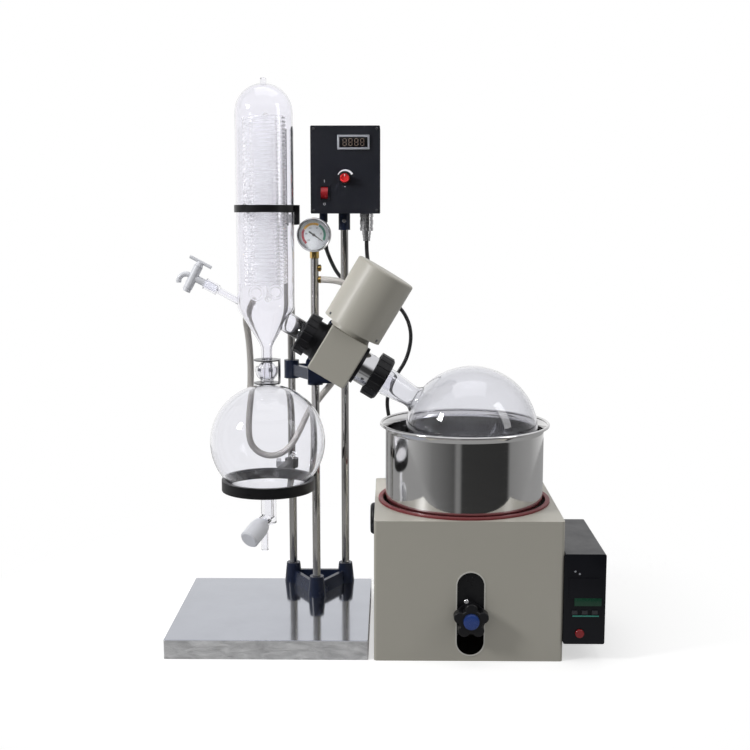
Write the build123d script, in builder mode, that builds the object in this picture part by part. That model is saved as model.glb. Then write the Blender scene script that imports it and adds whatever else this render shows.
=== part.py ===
"""Bench rotary evaporator with a lift bath, a coil condenser and a draining receiver.

Millimetres. X runs to the right, Y away from the viewer and Z up from the bench.
The origin is on the underside of the stand's floor plate, below the plane of the glass.
"""
import os
from math import atan2, cos, degrees, pi, radians, sin, sqrt, tan

from build123d import *

os.makedirs("parts", exist_ok=True)

# Clearances
SEAT = 0.05
RUN = 0.05
GAP = 0.4
SHEET = 1.5

# Stand: tray, three posts and the two spiders
TRAY_FRONT = -148.0
TRAY_BACK = 172.0
TRAY_H = 32.0
TRAY_CORNER = 3.0
TRAY_EDGE = 1.2
FLOOR_T = 2.0
POST_R = 7.0
POST_BORE = 5.0
POST_SIDE = 97.0
POST_X = 68.5
POST_FRONT_Y = 75.0
POST_SHORT = 61.0
FRONT_POST_TOP = 635.0
BASE_HUB_FOOT_R = 16.0
BASE_HUB_TOP_R = 12.5
BASE_HUB_H = 36.0
BASE_WEB_T = 12.0
BASE_WEB_H = 22.0
BASE_WEB_TAPER = 6.0
SPIDER_Z = 415.0
SPIDER_HUB_R = 13.5
SPIDER_HUB_H = 33.0
SPIDER_WEB_T = 10.0
SPIDER_WEB_DROP = 6.0
SPIDER_WEB_H = 20.0
PAD_X0 = 58.0
PAD_X1 = 126.0
PAD_T = 10.0
PAD_RISE = 44.0
PAD_LINK_W = 20.0
FOOT_BOLT_HEAD_R = 8.0
FOOT_BOLT_HEAD_H = 6.0
FOOT_BOLT_L = 26.0
GRUB_R = 3.0
GRUB_HEAD_R = 4.5
GRUB_HEAD_H = 3.0

# Drive head, on an axis that slopes down to the flask; stations run up it from the flask's centre
FLASK_X = 337.0
FLASK_Z = 345.0
SLOPE = 31.0
FLASK_R = 112.0
FLASK_WALL = 3.0
NECK_R0 = 17.5
NECK_R1 = 23.5
NECK_T1 = 166.0
FLANGE_T0 = 175.0
FLANGE_T = 6.0
FLANGE_R = 31.0
NUT_T0 = 172.0
NUT_T1 = 197.0
NUT_R = 38.5
NUT_CHAMFER = 3.5
NUT_THREAD_R = 34.0
TUBE_R = 13.0
TUBE_WALL = 1.8
TUBE_T0 = 158.0
TUBE_T1 = 326.0
TUBE_FLANGE_T = 4.0
COLLAR_FLANGE_T = 9.0
COLLAR_R = 27.5
COLLAR_T1 = 218.0
SPINDLE_R = 18.0
SPINDLE_BORE = 14.0
SPINDLE_T1 = 299.0
HOUSING_T0 = 224.5
HOUSING_L = 70.0
HOUSING_M0 = -44.0
HOUSING_M1 = 38.5
HOUSING_HALF_Y = 38.0
HOUSING_WALL = 4.0
HOUSING_CORNER = 5.0
BEARING_R = 28.0
BEARING_W = 11.0
BOSS_WALL = 4.5
CAP_R = 33.0
CAP_T = 6.0
PLATE_T = 8.0
PLATE_LIP = 7.0
PLATE_CORNER = 6.0
SLEEVE_FLANGE_R = 35.0
SLEEVE_FLANGE_T = 6.5
SLEEVE_R = 31.0
SLEEVE_T1 = 318.0
SLEEVE_BORE = 26.0
SEAL_T = 11.0
UNION_T0 = 313.0
UNION_T1 = 333.0
UNION_R = 36.5
UNION_CHAMFER = 3.0
ARM_R = 17.0
ARM_WALL = 2.2
ARM_FLANGE_R = 29.0
ARM_FLANGE_T = 5.0
KNURLS = 18
KNURL_R = 2.0

# Motor and its right-angle drive
MOTOR_T = 263.0
COVER_R = 52.0
COVER_M0 = 46.7
COVER_M1 = 158.4
COVER_WALL = 2.0
COVER_ROUND = 4.0
MOTOR_NECK_R = 36.0
MOTOR_FLANGE_T = 6.0
MOTOR_SPIGOT_R = 12.0
MOTOR_R = 38.0
MOTOR_TOP = 132.0
MOTOR_END = 6.0
ROTOR_R = 24.0
ROTOR_GAP = 1.0
ROTOR_END_GAP = 4.0
SHAFT_R = 4.0
MODULE = 1.25
PINION_TEETH = 10
CROWN_TEETH = 40
TOOTH_UP = 1.1
TOOTH_DOWN = 1.5
TOOTH_ROOT_HALF = 1.0
TOOTH_TIP_HALF = 0.4
CROWN_R = 29.5
CROWN_T = 11.0
PINION_FACE = 5.0

# Condenser
COND_X = -8.0
COND_R = 47.5
COND_WALL = 2.5
COND_WELD_Z = 555.0
COND_TOP_Z = 921.0
COND_TIP_R = 5.0
COND_TIP_H = 9.0
CONE_Z = 491.0
DROP_R = 9.0
DROP_WALL = 2.0
BALL_R = 16.0
BALL_Z = 450.0
BALL_CUT = 12.0
COIL_R = 36.5
COIL_WALL = 4.0
COIL_Z0 = 568.0
COIL_HEADROOM = 50.0
COIL_RIBS = 24
RIB_DEPTH = 1.6
WATER_R = 4.5
WATER_STEP = 1.0
WATER_L = 24.0
WATER_NIPPLE = 20.0
BARB_BORE = 2.5
BARB_AZ = 122.0
BARB_DIP = 35.0
BARB_L = 22.0
BARB_Z = 600.0

# Feed tap on the condenser's left
FEED_Z = 566.0
FEED_SLOPE = 28.0
FEED_R = 6.0
FEED_BORE = 3.0
FEED_ARM = 40.0
SOCKET_R = 9.0
SOCKET_L = 24.0
CONE_R0 = 7.0
CONE_R1 = 5.5
TAP_AT = 86.0
TAP_R = 7.5
TAP_L = 40.0
KEY_R = 5.0
KEY_HOLE = 2.0
HANDLE_R = 2.8
HANDLE_L = 40.0
KEY_STEM = 8.0
KEY_NUT_R = 7.0
KEY_NUT_T = 6.0
SPOUT_RUN = 20.0
SPOUT_DROP = 22.0
SPOUT_BEND = 12.0
SPOUT_R = 4.5

# Clamps on the left post
CLAMP_SHARE = 0.4317
CLAMP_H = 12.0
CLAMP_T = 3.0
EAR_W = 5.0
EAR_DEPTH = 16.0
EAR_DROP = 20.0
ARM_BAR_T = 6.0
ARM_BAR_H = 14.0
GRIP_R = 13.0
GRIP_H = 24.0
THUMB_R = 9.0
THUMB_T = 8.0
THUMB_STEM_R = 3.0
THUMB_STEM_L = 8.0

# Receiver
RECV_X = -8.0
RECV_Z = 328.5
RECV_R = 97.0
RECV_WALL = 3.0
CUP_R = 19.5
CUP_TOP = 6.0
RING_R = 79.0
RING_BORE = 70.0
RING_Z0 = 246.0
RING_H = 18.0
CLIP_R = 22.0
CLIP_T = 2.0
CLIP_LIFT = 3.0
DRAIN_R = 13.0
DRAIN_Z = 198.0
DRAIN_WALL = 2.5
CHAMBER_R = 11.0
CHAMBER_L = 34.0
DRAIN_SPOUT_R = 6.35
DRAIN_SPOUT_Z = 138.0
DRAIN_SPOUT_SHIFT = 7.0
STEM_R = 6.0
STEM_TIP = 10.0
VALVE_TRAVEL = 6.0
VALVE_KNOB_R = 16.5
VALVE_KNOB_L = 42.0
VALVE_SKIRT = 12.0

# Vacuum gauge and fittings on the front post
GAUGE_Z = 675.0
GAUGE_R = 29.0
GAUGE_DEPTH = 26.0
GAUGE_FRONT = 22.0
GAUGE_WALL = 2.0
GAUGE_BEZEL = 3.0
DIAL_SINK = 6.0
LENS_T = 1.5
NEEDLE_L = 19.0
NEEDLE_TAIL = 10.0
NEEDLE_W = 3.0
NEEDLE_TIP_W = 0.8
NEEDLE_REST = 125.5
NEEDLE_T = 0.8
NEEDLE_R = 2.5
FITTING_R = 8.0
NIPPLE_R = 4.0
NIPPLE_L = 14.0
NIPPLE_COLLAR_R = 6.0
NIPPLE_COLLAR_T = 4.0
HOSE_NIPPLE_Z = 598.0
BLANK_NIPPLE_Z = 618.0
BLANK_NIPPLE_L = 5.0

# Control box on the right post
BOX_X0 = 60.0
BOX_X1 = 181.0
BOX_FRONT = 115.0
BOX_DEPTH = 80.0
BOX_Z0 = 711.0
BOX_H = 151.0
BOX_CORNER = 2.0
BEZEL_X0 = 107.0
BEZEL_X1 = 163.0
BEZEL_Z0 = 821.0
BEZEL_Z1 = 846.0
BEZEL_RISE = 2.5
WINDOW_RIM = 3.0
SPEED_X = 120.0
SPEED_Z = 772.0
SPEED_SKIRT_R = 11.0
SPEED_SKIRT_T = 3.0
SPEED_CAP_R = 8.4
SPEED_L = 15.0
SPEED_SHAFT_R = 3.0
ROCKER_X = 84.0
ROCKER_Z = 747.0
ROCKER_W = 12.0
ROCKER_H = 20.0
ROCKER_FRAME = 3.0
ROCKER_R = 12.0
ROCKER_SINK = 9.0
SOCKET_COLLAR_R = 10.5
SOCKET_COLLAR_H = 29.0
GLAND_X = 79.0
GLAND_Y = 172.0
GLAND_R = 7.5
GLAND_H = 15.0
PLUG_X = 157.0
PLUG_Y = 145.0
PLUG_R = 11.0
PLUG_H = 30.0
PLUG_TAIL_R = 6.0
PLUG_TAIL_H = 18.0

# Heating bath
BATH_OFFSET = 12.0
BATH_GAP = 9.0
CASING_SIDE = 18.0
CASING_FORE = 17.0
CASING_H = 230.0
CASING_CORNER = 5.0
TOP_LEDGE = 8.0
TOP_HOLE_GAP = 6.0
POT_ROOM = 21.0
POT_WALL = 1.2
POT_FLOOR_Z = 205.0
POT_RIM_Z = 363.0
RIM_OVERHANG = 10.0
POT_FLARE = 10.0
RIM_ROLL_R = 2.5
POT_CORNER = 8.0
GASKET_W = 12.0
GASKET_H = 4.0
GASKET_GAP = 4.5
ELEMENT_INSET = 41.0
ELEMENT_TUBE_R = 5.0
CARRIER_T = 5.0
CARRIER_BACK = 110.0
ROD_R = 6.0
ROD_INSET_X = 22.0
ROD_INSET_Y = 22.0
ROD_BUSH_R = 11.0
ROD_BUSH_H = 24.0
APRON_W = 64.0
APRON_T = 4.0
APRON_DROP = 150.0
SLOT_OFFSET = 3.0
SLOT_W = 44.0
SLOT_Z0 = 10.0
SLOT_Z1 = 147.0
STAR_Z = 74.0
STAR_HUB_R = 19.0
STAR_LOBE_R = 9.5
STAR_LOBES = 5
STAR_T = 16.0
STAR_BOSS_R = 24.0
STAR_BOSS_T = 8.0
STAR_CAP_R = 13.0
STAR_CAP_T = 2.5
STUD_R = 5.0
STUD_L = 26.0
GRIP_Y = 10.0
GRIP_Z = 192.0
GRIP_PAD_R = 27.0
GRIP_PAD_T = 8.0

# Bath controller on the casing's right wall
CTRL_W = 66.0
CTRL_BACK = 60.0
CTRL_Z0 = 30.0
CTRL_H = 148.0
CTRL_CORNER = 3.0
CTRL_PANEL_T = 2.0
CTRL_WINDOW_W = 50.0
CTRL_WINDOW_H = 34.0
CTRL_WINDOW_Z = 122.0
CTRL_WINDOW_RISE = 1.2
KEY_PITCH = 16.0
KEY_W = 9.0
KEY_H = 6.0
KEY_RISE = 2.5
KEY_Z = 83.0
SWITCH_INSET = 26.0
SWITCH_Z = 48.0
SWITCH_R = 7.0
SWITCH_RISE = 4.0
BUTTON_LIP = 2.0
BUTTON_DEPTH = 5.0

# Cords and hose
CORD_R = 3.5
MOTOR_CORD_R = 3.5
HOSE_R = 5.75
COIL_MID_R = 40.0
COIL_TURN_R = 12.0
COIL_Y = 250.0
COIL_X = 376.0
CABLE_ENTRY = 100.0
MAINS_PLUG_R = 13.0
MAINS_PLUG_L = 40.0
MAINS_TAPER = 2.0
MAINS_TAIL = 50.0
MAINS_PIN_R = 2.4
MAINS_PIN_L = 19.0

# Places worked out from the sizes
REAR_Y = POST_FRONT_Y + POST_SIDE * sqrt(3) / 2
LEFT_POST = (POST_X - POST_SIDE / 2, REAR_Y)
RIGHT_POST = (POST_X + POST_SIDE / 2, REAR_Y)
FRONT_POST = (POST_X, POST_FRONT_Y)
POSTS = (LEFT_POST, RIGHT_POST, FRONT_POST)
WEBS = (
    (POST_X, REAR_Y, 0),
    (POST_X - POST_SIDE / 4, (POST_FRONT_Y + REAR_Y) / 2, -60),
    (POST_X + POST_SIDE / 4, (POST_FRONT_Y + REAR_Y) / 2, 60),
)
UP = Vector(0, 0, 1)
BACK = Vector(0, 1, 0)
FLASK_C = Vector(FLASK_X, 0, FLASK_Z)
AXIAL = Vector(-cos(radians(SLOPE)), 0, sin(radians(SLOPE)))
ACROSS = Vector(sin(radians(SLOPE)), 0, cos(radians(SLOPE)))
SIDE = Plane(FLASK_C, x_dir=AXIAL, z_dir=BACK)
SPIN = Axis(FLASK_C, AXIAL)
MOTOR_AXIS = Axis(FLASK_C + AXIAL * MOTOR_T, ACROSS)
MOTOR_FACE = Plane(FLASK_C + AXIAL * MOTOR_T, x_dir=AXIAL, z_dir=ACROSS)
SPIN_FACE = Plane(FLASK_C, x_dir=ACROSS, z_dir=AXIAL)
PLATE_Y = HOUSING_HALF_Y + PLATE_T
HOUSING_T1 = HOUSING_T0 + HOUSING_L
COND_AXIS = Axis((COND_X, 0, 0), UP)
ARM_END_T = (FLASK_X - COND_X) / cos(radians(SLOPE))
FEED_DIR = Vector(-cos(radians(FEED_SLOPE)), 0, sin(radians(FEED_SLOPE)))
FEED_UP = Vector(sin(radians(FEED_SLOPE)), 0, cos(radians(FEED_SLOPE)))
FEED_FOOT = Vector(COND_X - COND_R + COND_WALL, 0, FEED_Z)
FEED_SIDE = Plane(FEED_FOOT, x_dir=FEED_DIR, z_dir=BACK)
FEED_AXIS = Axis(FEED_FOOT, FEED_DIR)
TAP_C = FEED_FOOT + FEED_DIR * TAP_AT
TAP_SIDE = Plane(TAP_C, x_dir=FEED_UP, z_dir=BACK)
TAP_AXIS = Axis(TAP_C, FEED_UP)
VALVE_DIR = Vector(-0.46, -0.76, -0.46).normalized()
VALVE_C = Vector(RECV_X, 0, DRAIN_Z)
VALVE_SIDE = Plane(VALVE_C, x_dir=VALVE_DIR, z_dir=VALVE_DIR.cross(UP).normalized())
VALVE_AXIS = Axis(VALVE_C, VALVE_DIR)
POT_R = FLASK_R + POT_ROOM
POT_RIM_R = POT_R + RIM_OVERHANG
TOP_HOLE_R = POT_R + TOP_HOLE_GAP
GASKET_R = POT_R + GASKET_W
ELEMENT_R = POT_R - ELEMENT_INSET
CASING_W = 2 * (POT_R + CASING_SIDE)
CASING_D = 2 * (POT_R + CASING_FORE)
BATH_X = FLASK_X - BATH_OFFSET
SLOT_X = BATH_X + SLOT_OFFSET
CASING_X1 = BATH_X + CASING_W / 2
SWITCH_X = CASING_X1 + SWITCH_INSET
TRAY_W = 2 * (BATH_X - CASING_W / 2 - BATH_GAP)
COIL_Z1 = COND_TOP_Z - COIL_HEADROOM
LEFT_POST_TOP = COND_TOP_Z - POST_SHORT
CLAMP_Z0 = COND_WELD_Z + CLAMP_SHARE * (COND_TOP_Z - COND_WELD_Z)
CASING_FRONT = -CASING_D / 2
PITCH_R = MODULE * PINION_TEETH / 2
MESH_R = MODULE * CROWN_TEETH / 2
CROWN_T1 = MOTOR_T - PITCH_R - TOOTH_DOWN


# Stand
with BuildPart() as base_tray:
    with BuildSketch():
        with Locations((0, (TRAY_FRONT + TRAY_BACK) / 2)):
            RectangleRounded(TRAY_W, TRAY_BACK - TRAY_FRONT, TRAY_CORNER)
    extrude(amount=TRAY_H)
    fillet(base_tray.faces().sort_by(Axis.Z)[-1].edges(), TRAY_EDGE)
    offset(amount=-SHEET, openings=base_tray.faces().sort_by(Axis.Z)[0])
    with Locations(*[(x, y, TRAY_H - SHEET) for x, y in POSTS]):
        Cylinder(POST_BORE, 3 * SHEET, mode=Mode.SUBTRACT)

with BuildPart() as base_floor_plate:
    with BuildSketch():
        with Locations((0, (TRAY_FRONT + TRAY_BACK) / 2)):
            Rectangle(TRAY_W - 2 * SHEET - 2 * SEAT, TRAY_BACK - TRAY_FRONT - 2 * SHEET - 2 * SEAT)
    extrude(amount=FLOOR_T)
    fillet(base_floor_plate.edges().filter_by(Axis.Z), TRAY_CORNER)

with BuildPart() as base_spider:
    with BuildSketch(Plane.XY.offset(TRAY_H)):
        for x, y, turn in WEBS:
            with Locations((x, y)):
                Rectangle(POST_SIDE, BASE_WEB_T, rotation=turn)
    extrude(amount=BASE_WEB_H, taper=BASE_WEB_TAPER)
    with Locations(*[(x, y, TRAY_H) for x, y in POSTS]):
        Cone(BASE_HUB_FOOT_R, BASE_HUB_TOP_R, BASE_HUB_H, align=(Align.CENTER, Align.CENTER, Align.MIN))
    with Locations(*[(x, y, TRAY_H) for x, y in POSTS]):
        Cylinder(POST_R + SEAT, 3 * BASE_HUB_H, mode=Mode.SUBTRACT)

with BuildPart() as rear_posts:
    for (x, y), top in ((LEFT_POST, LEFT_POST_TOP), (RIGHT_POST, BOX_Z0)):
        with BuildSketch(Plane.XY.offset(TRAY_H)):
            with Locations((x, y)):
                Circle(POST_R)
                Circle(POST_BORE, mode=Mode.SUBTRACT)
        extrude(amount=top - TRAY_H)

with BuildPart() as front_post:
    with BuildSketch(Plane.XY.offset(TRAY_H)):
        with Locations(FRONT_POST):
            Circle(POST_R)
            Circle(POST_BORE, mode=Mode.SUBTRACT)
    extrude(amount=FRONT_POST_TOP - TRAY_H)
    for z in (HOSE_NIPPLE_Z, BLANK_NIPPLE_Z):
        with BuildSketch(Plane((POST_X, POST_FRONT_Y, z), x_dir=UP, z_dir=(1, 0, 0))):
            Circle(NIPPLE_R)
        extrude(amount=2 * POST_R, mode=Mode.SUBTRACT)

with BuildPart() as upper_spider:
    with BuildSketch(Plane.XY.offset(SPIDER_Z + SPIDER_WEB_DROP)):
        for x, y, turn in WEBS:
            with Locations((x, y)):
                Rectangle(POST_SIDE, SPIDER_WEB_T, rotation=turn)
        with Locations((POST_X, (PLATE_Y + POST_FRONT_Y) / 2)):
            Rectangle(PAD_LINK_W, POST_FRONT_Y - PLATE_Y)
        with Locations(((PAD_X0 + PAD_X1) / 2, PLATE_Y + PAD_T / 2)):
            Rectangle(PAD_X1 - PAD_X0, PAD_T)
    extrude(amount=SPIDER_WEB_H)
    with Locations(((PAD_X0 + PAD_X1) / 2, PLATE_Y + PAD_T / 2, SPIDER_Z + SPIDER_WEB_DROP + SPIDER_WEB_H)):
        Box(PAD_X1 - PAD_X0, PAD_T, PAD_RISE, align=(Align.CENTER, Align.CENTER, Align.MIN))
    with Locations(*[(x, y, SPIDER_Z) for x, y in POSTS]):
        Cylinder(SPIDER_HUB_R, SPIDER_HUB_H, align=(Align.CENTER, Align.CENTER, Align.MIN))
    with Locations(*[(x, y, SPIDER_Z) for x, y in POSTS]):
        Cylinder(POST_R + SEAT, 3 * SPIDER_HUB_H, mode=Mode.SUBTRACT)

# Drive head housing
with BuildPart() as gear_housing:
    with BuildSketch(SIDE.offset(-HOUSING_HALF_Y)):
        with Locations((HOUSING_T0 + HOUSING_L / 2, (HOUSING_M0 + HOUSING_M1) / 2)):
            RectangleRounded(HOUSING_L, HOUSING_M1 - HOUSING_M0, HOUSING_CORNER)
    extrude(amount=2 * HOUSING_HALF_Y)
    fillet(gear_housing.faces().sort_by(Axis.Y)[0].edges(), HOUSING_CORNER / 2)
    offset(amount=-HOUSING_WALL, openings=gear_housing.faces().sort_by(Axis.Y)[-1])
    for t in (HOUSING_T0 + HOUSING_WALL, HOUSING_T1 - HOUSING_WALL - BEARING_W):
        with BuildSketch(SPIN_FACE.offset(t)):
            Circle(BEARING_R + BOSS_WALL)
            Circle(BEARING_R + SEAT, mode=Mode.SUBTRACT)
        extrude(amount=BEARING_W)
    with BuildSketch(SPIN_FACE.offset(HOUSING_T0)):
        Circle(SPINDLE_R + HOUSING_WALL / 2)
    extrude(amount=HOUSING_L, mode=Mode.SUBTRACT)
    with BuildSketch(MOTOR_FACE.offset(HOUSING_M1 - 2 * HOUSING_WALL)):
        Circle(MOTOR_SPIGOT_R + SEAT)
    extrude(amount=3 * HOUSING_WALL, mode=Mode.SUBTRACT)

with BuildPart() as head_backplate:
    with BuildSketch(SIDE.offset(HOUSING_HALF_Y)):
        with Locations(((HOUSING_T0 + HOUSING_T1 + PLATE_LIP) / 2, (HOUSING_M0 + HOUSING_M1 - PLATE_LIP) / 2)):
            RectangleRounded(HOUSING_L + PLATE_LIP, HOUSING_M1 - HOUSING_M0 + PLATE_LIP, PLATE_CORNER)
    extrude(amount=PLATE_T)

with BuildPart() as bearings:
    for t in (HOUSING_T0 + HOUSING_WALL, HOUSING_T1 - HOUSING_WALL - BEARING_W):
        with BuildSketch(SPIN_FACE.offset(t)):
            Circle(BEARING_R)
            Circle(SPINDLE_R + RUN, mode=Mode.SUBTRACT)
        extrude(amount=BEARING_W)

# Front bearing cap and the threaded sleeve that takes the union nut
with BuildPart() as bearing_caps:
    with BuildSketch(SPIN_FACE.offset(HOUSING_T0 - CAP_T)):
        Circle(CAP_R)
        Circle(SPINDLE_R + GAP, mode=Mode.SUBTRACT)
    extrude(amount=CAP_T)
    with BuildSketch(SIDE):
        with BuildLine():
            Polyline(
                (HOUSING_T1, SPINDLE_R + GAP),
                (HOUSING_T1, SLEEVE_FLANGE_R),
                (HOUSING_T1 + SLEEVE_FLANGE_T, SLEEVE_FLANGE_R),
                (HOUSING_T1 + SLEEVE_FLANGE_T, SLEEVE_R),
                (SLEEVE_T1, SLEEVE_R),
                (SLEEVE_T1, SLEEVE_BORE),
                (SPINDLE_T1 + GAP, SLEEVE_BORE),
                (SPINDLE_T1 + GAP, SPINDLE_R + GAP),
                close=True,
            )
        make_face()
    revolve(axis=SPIN)

with BuildPart() as spindle_seal:
    with BuildSketch(SPIN_FACE.offset(SPINDLE_T1 + GAP)):
        Circle(SLEEVE_BORE)
        Circle(TUBE_R + RUN, mode=Mode.SUBTRACT)
    extrude(amount=SEAL_T)

with BuildPart() as union_nut:
    with BuildSketch(SIDE):
        with BuildLine():
            Polyline(
                (UNION_T0, SLEEVE_R + SEAT),
                (UNION_T0, UNION_R),
                (UNION_T1 - UNION_CHAMFER, UNION_R),
                (UNION_T1, UNION_R - UNION_CHAMFER),
                (UNION_T1, ARM_R + GAP),
                (SLEEVE_T1 + ARM_FLANGE_T, ARM_R + GAP),
                (SLEEVE_T1 + ARM_FLANGE_T, SLEEVE_R + SEAT),
                close=True,
            )
        make_face()
    revolve(axis=SPIN)
    with BuildSketch(SPIN_FACE.offset(UNION_T0)):
        with PolarLocations(UNION_R + KNURL_R / 2, KNURLS):
            Circle(KNURL_R)
    extrude(amount=UNION_T1 - UNION_T0, mode=Mode.SUBTRACT)

# Rotating line: spindle, collar, ring nut, vapour tube and flask
with BuildPart() as spindle:
    nose_t0 = FLANGE_T0 + FLANGE_T + TUBE_FLANGE_T
    with BuildSketch(SIDE):
        with BuildLine():
            Polyline(
                (nose_t0, SPINDLE_BORE),
                (nose_t0, NUT_THREAD_R),
                (nose_t0 + COLLAR_FLANGE_T, NUT_THREAD_R),
                (nose_t0 + COLLAR_FLANGE_T, COLLAR_R),
                (COLLAR_T1, COLLAR_R),
                (COLLAR_T1, SPINDLE_R),
                (SPINDLE_T1, SPINDLE_R),
                (SPINDLE_T1, SPINDLE_BORE),
                close=True,
            )
        make_face()
    revolve(axis=SPIN)
    for k in range(3):
        out = ACROSS * cos(k * 2 * pi / 3) + BACK * sin(k * 2 * pi / 3)
        screw_c = FLASK_C + AXIAL * (nose_t0 + COLLAR_FLANGE_T + COLLAR_T1) / 2 + out * COLLAR_R
        with BuildSketch(Plane(screw_c, x_dir=AXIAL, z_dir=out)):
            Circle(GRUB_R)
        extrude(amount=-GRUB_R, mode=Mode.SUBTRACT)

with BuildPart() as ring_nut:
    with BuildSketch(SIDE):
        with BuildLine():
            Polyline(
                (NUT_T0, NECK_R1 + GAP),
                (NUT_T0, NUT_R - NUT_CHAMFER),
                (NUT_T0 + NUT_CHAMFER, NUT_R),
                (NUT_T1, NUT_R),
                (NUT_T1, NUT_THREAD_R + SEAT),
                (FLANGE_T0, NUT_THREAD_R + SEAT),
                (FLANGE_T0, NECK_R1 + GAP),
                close=True,
            )
        make_face()
    revolve(axis=SPIN)
    with BuildSketch(SPIN_FACE.offset(NUT_T0)):
        with PolarLocations(NUT_R + KNURL_R / 2, KNURLS):
            Circle(KNURL_R)
    extrude(amount=NUT_T1 - NUT_T0, mode=Mode.SUBTRACT)

with BuildPart() as vapour_tube:
    with BuildSketch(SIDE):
        with BuildLine():
            Polyline(
                (TUBE_T0, TUBE_R - TUBE_WALL),
                (TUBE_T0, TUBE_R),
                (FLANGE_T0 + FLANGE_T, TUBE_R),
                (FLANGE_T0 + FLANGE_T, FLANGE_R),
                (FLANGE_T0 + FLANGE_T + TUBE_FLANGE_T, FLANGE_R),
                (FLANGE_T0 + FLANGE_T + TUBE_FLANGE_T, TUBE_R),
                (TUBE_T1, TUBE_R),
                (TUBE_T1, TUBE_R - TUBE_WALL),
                close=True,
            )
        make_face()
    revolve(axis=SPIN)

with BuildPart() as evaporating_flask:
    shoulder = sqrt(FLASK_R**2 - NECK_R0**2)
    inner_r = FLASK_R - FLASK_WALL
    inner_shoulder = sqrt(inner_r**2 - (NECK_R0 - FLASK_WALL) ** 2)
    with BuildSketch(SIDE):
        with BuildLine():
            ThreePointArc((-FLASK_R, 0), (0, FLASK_R), (shoulder, NECK_R0))
            Polyline(
                (shoulder, NECK_R0),
                (NECK_T1, NECK_R1),
                (FLANGE_T0, NECK_R1),
                (FLANGE_T0, FLANGE_R),
                (FLANGE_T0 + FLANGE_T, FLANGE_R),
                (FLANGE_T0 + FLANGE_T, NECK_R1 - FLASK_WALL),
                (NECK_T1, NECK_R1 - FLASK_WALL),
                (inner_shoulder, NECK_R0 - FLASK_WALL),
            )
            ThreePointArc((inner_shoulder, NECK_R0 - FLASK_WALL), (0, inner_r), (-inner_r, 0))
            Line((-inner_r, 0), (-FLASK_R, 0))
        make_face()
    revolve(axis=SPIN)

# Right-angle drive: the crown wheel on the spindle and the pinion cut on the motor's shaft
with BuildPart() as crown_gear:
    with BuildSketch(SPIN_FACE.offset(CROWN_T1 - CROWN_T)):
        Circle(CROWN_R)
        Circle(SPINDLE_R + SEAT, mode=Mode.SUBTRACT)
    extrude(amount=CROWN_T)
    tooth_tip = CROWN_T1 + TOOTH_DOWN + TOOTH_UP
    for k in range(CROWN_TEETH):
        turn = (k + 0.5) * 360 / CROWN_TEETH
        out = ACROSS * cos(radians(turn)) + BACK * sin(radians(turn))
        with BuildSketch(Plane(FLASK_C + out * (MESH_R - PINION_FACE / 2), x_dir=AXIAL, z_dir=out)):
            with BuildLine():
                Polyline(
                    (CROWN_T1 - MODULE / 4, -TOOTH_ROOT_HALF),
                    (CROWN_T1, -TOOTH_ROOT_HALF),
                    (tooth_tip, -TOOTH_TIP_HALF),
                    (tooth_tip, TOOTH_TIP_HALF),
                    (CROWN_T1, TOOTH_ROOT_HALF),
                    (CROWN_T1 - MODULE / 4, TOOTH_ROOT_HALF),
                    close=True,
                )
            make_face()
        extrude(amount=PINION_FACE)

with BuildPart() as motor_shaft:
    shaft_m0 = MESH_R - PINION_FACE / 2
    with BuildSketch(MOTOR_FACE.offset(shaft_m0)):
        Circle(SHAFT_R)
    extrude(amount=MOTOR_TOP - shaft_m0)
    with BuildSketch(MOTOR_FACE.offset(COVER_M0 + MOTOR_FLANGE_T + ROTOR_END_GAP)):
        Circle(ROTOR_R)
    extrude(amount=MOTOR_TOP - MOTOR_END - COVER_M0 - MOTOR_FLANGE_T - 2 * ROTOR_END_GAP)
    with BuildSketch(MOTOR_FACE.offset(shaft_m0)):
        Circle(PITCH_R - TOOTH_DOWN)
        with BuildLine():
            Polyline(
                (-PITCH_R, -TOOTH_ROOT_HALF),
                (-PITCH_R - TOOTH_UP, -TOOTH_TIP_HALF),
                (-PITCH_R - TOOTH_UP, TOOTH_TIP_HALF),
                (-PITCH_R, TOOTH_ROOT_HALF),
                (0, TOOTH_ROOT_HALF),
                (0, -TOOTH_ROOT_HALF),
                close=True,
            )
        tooth = make_face(mode=Mode.PRIVATE)
        with PolarLocations(0, PINION_TEETH):
            add(tooth)
    extrude(amount=PINION_FACE)

with BuildPart() as motor_body:
    can_m0 = COVER_M0 + MOTOR_FLANGE_T
    with BuildSketch(SIDE):
        with BuildLine():
            Polyline(
                (MOTOR_T + SHAFT_R + RUN, HOUSING_M1 - HOUSING_WALL),
                (MOTOR_T + MOTOR_SPIGOT_R, HOUSING_M1 - HOUSING_WALL),
                (MOTOR_T + MOTOR_SPIGOT_R, HOUSING_M1),
                (MOTOR_T + MOTOR_NECK_R, HOUSING_M1),
                (MOTOR_T + MOTOR_NECK_R, COVER_M0),
                (MOTOR_T + COVER_R - COVER_WALL - SEAT, COVER_M0),
                (MOTOR_T + COVER_R - COVER_WALL - SEAT, can_m0),
                (MOTOR_T + MOTOR_R, can_m0),
                (MOTOR_T + MOTOR_R, MOTOR_TOP),
                (MOTOR_T + SHAFT_R + RUN, MOTOR_TOP),
                (MOTOR_T + SHAFT_R + RUN, MOTOR_TOP - MOTOR_END),
                (MOTOR_T + ROTOR_R + ROTOR_GAP, MOTOR_TOP - MOTOR_END),
                (MOTOR_T + ROTOR_R + ROTOR_GAP, can_m0),
                (MOTOR_T + SHAFT_R + RUN, can_m0),
                close=True,
            )
        make_face()
    revolve(axis=MOTOR_AXIS)

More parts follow.
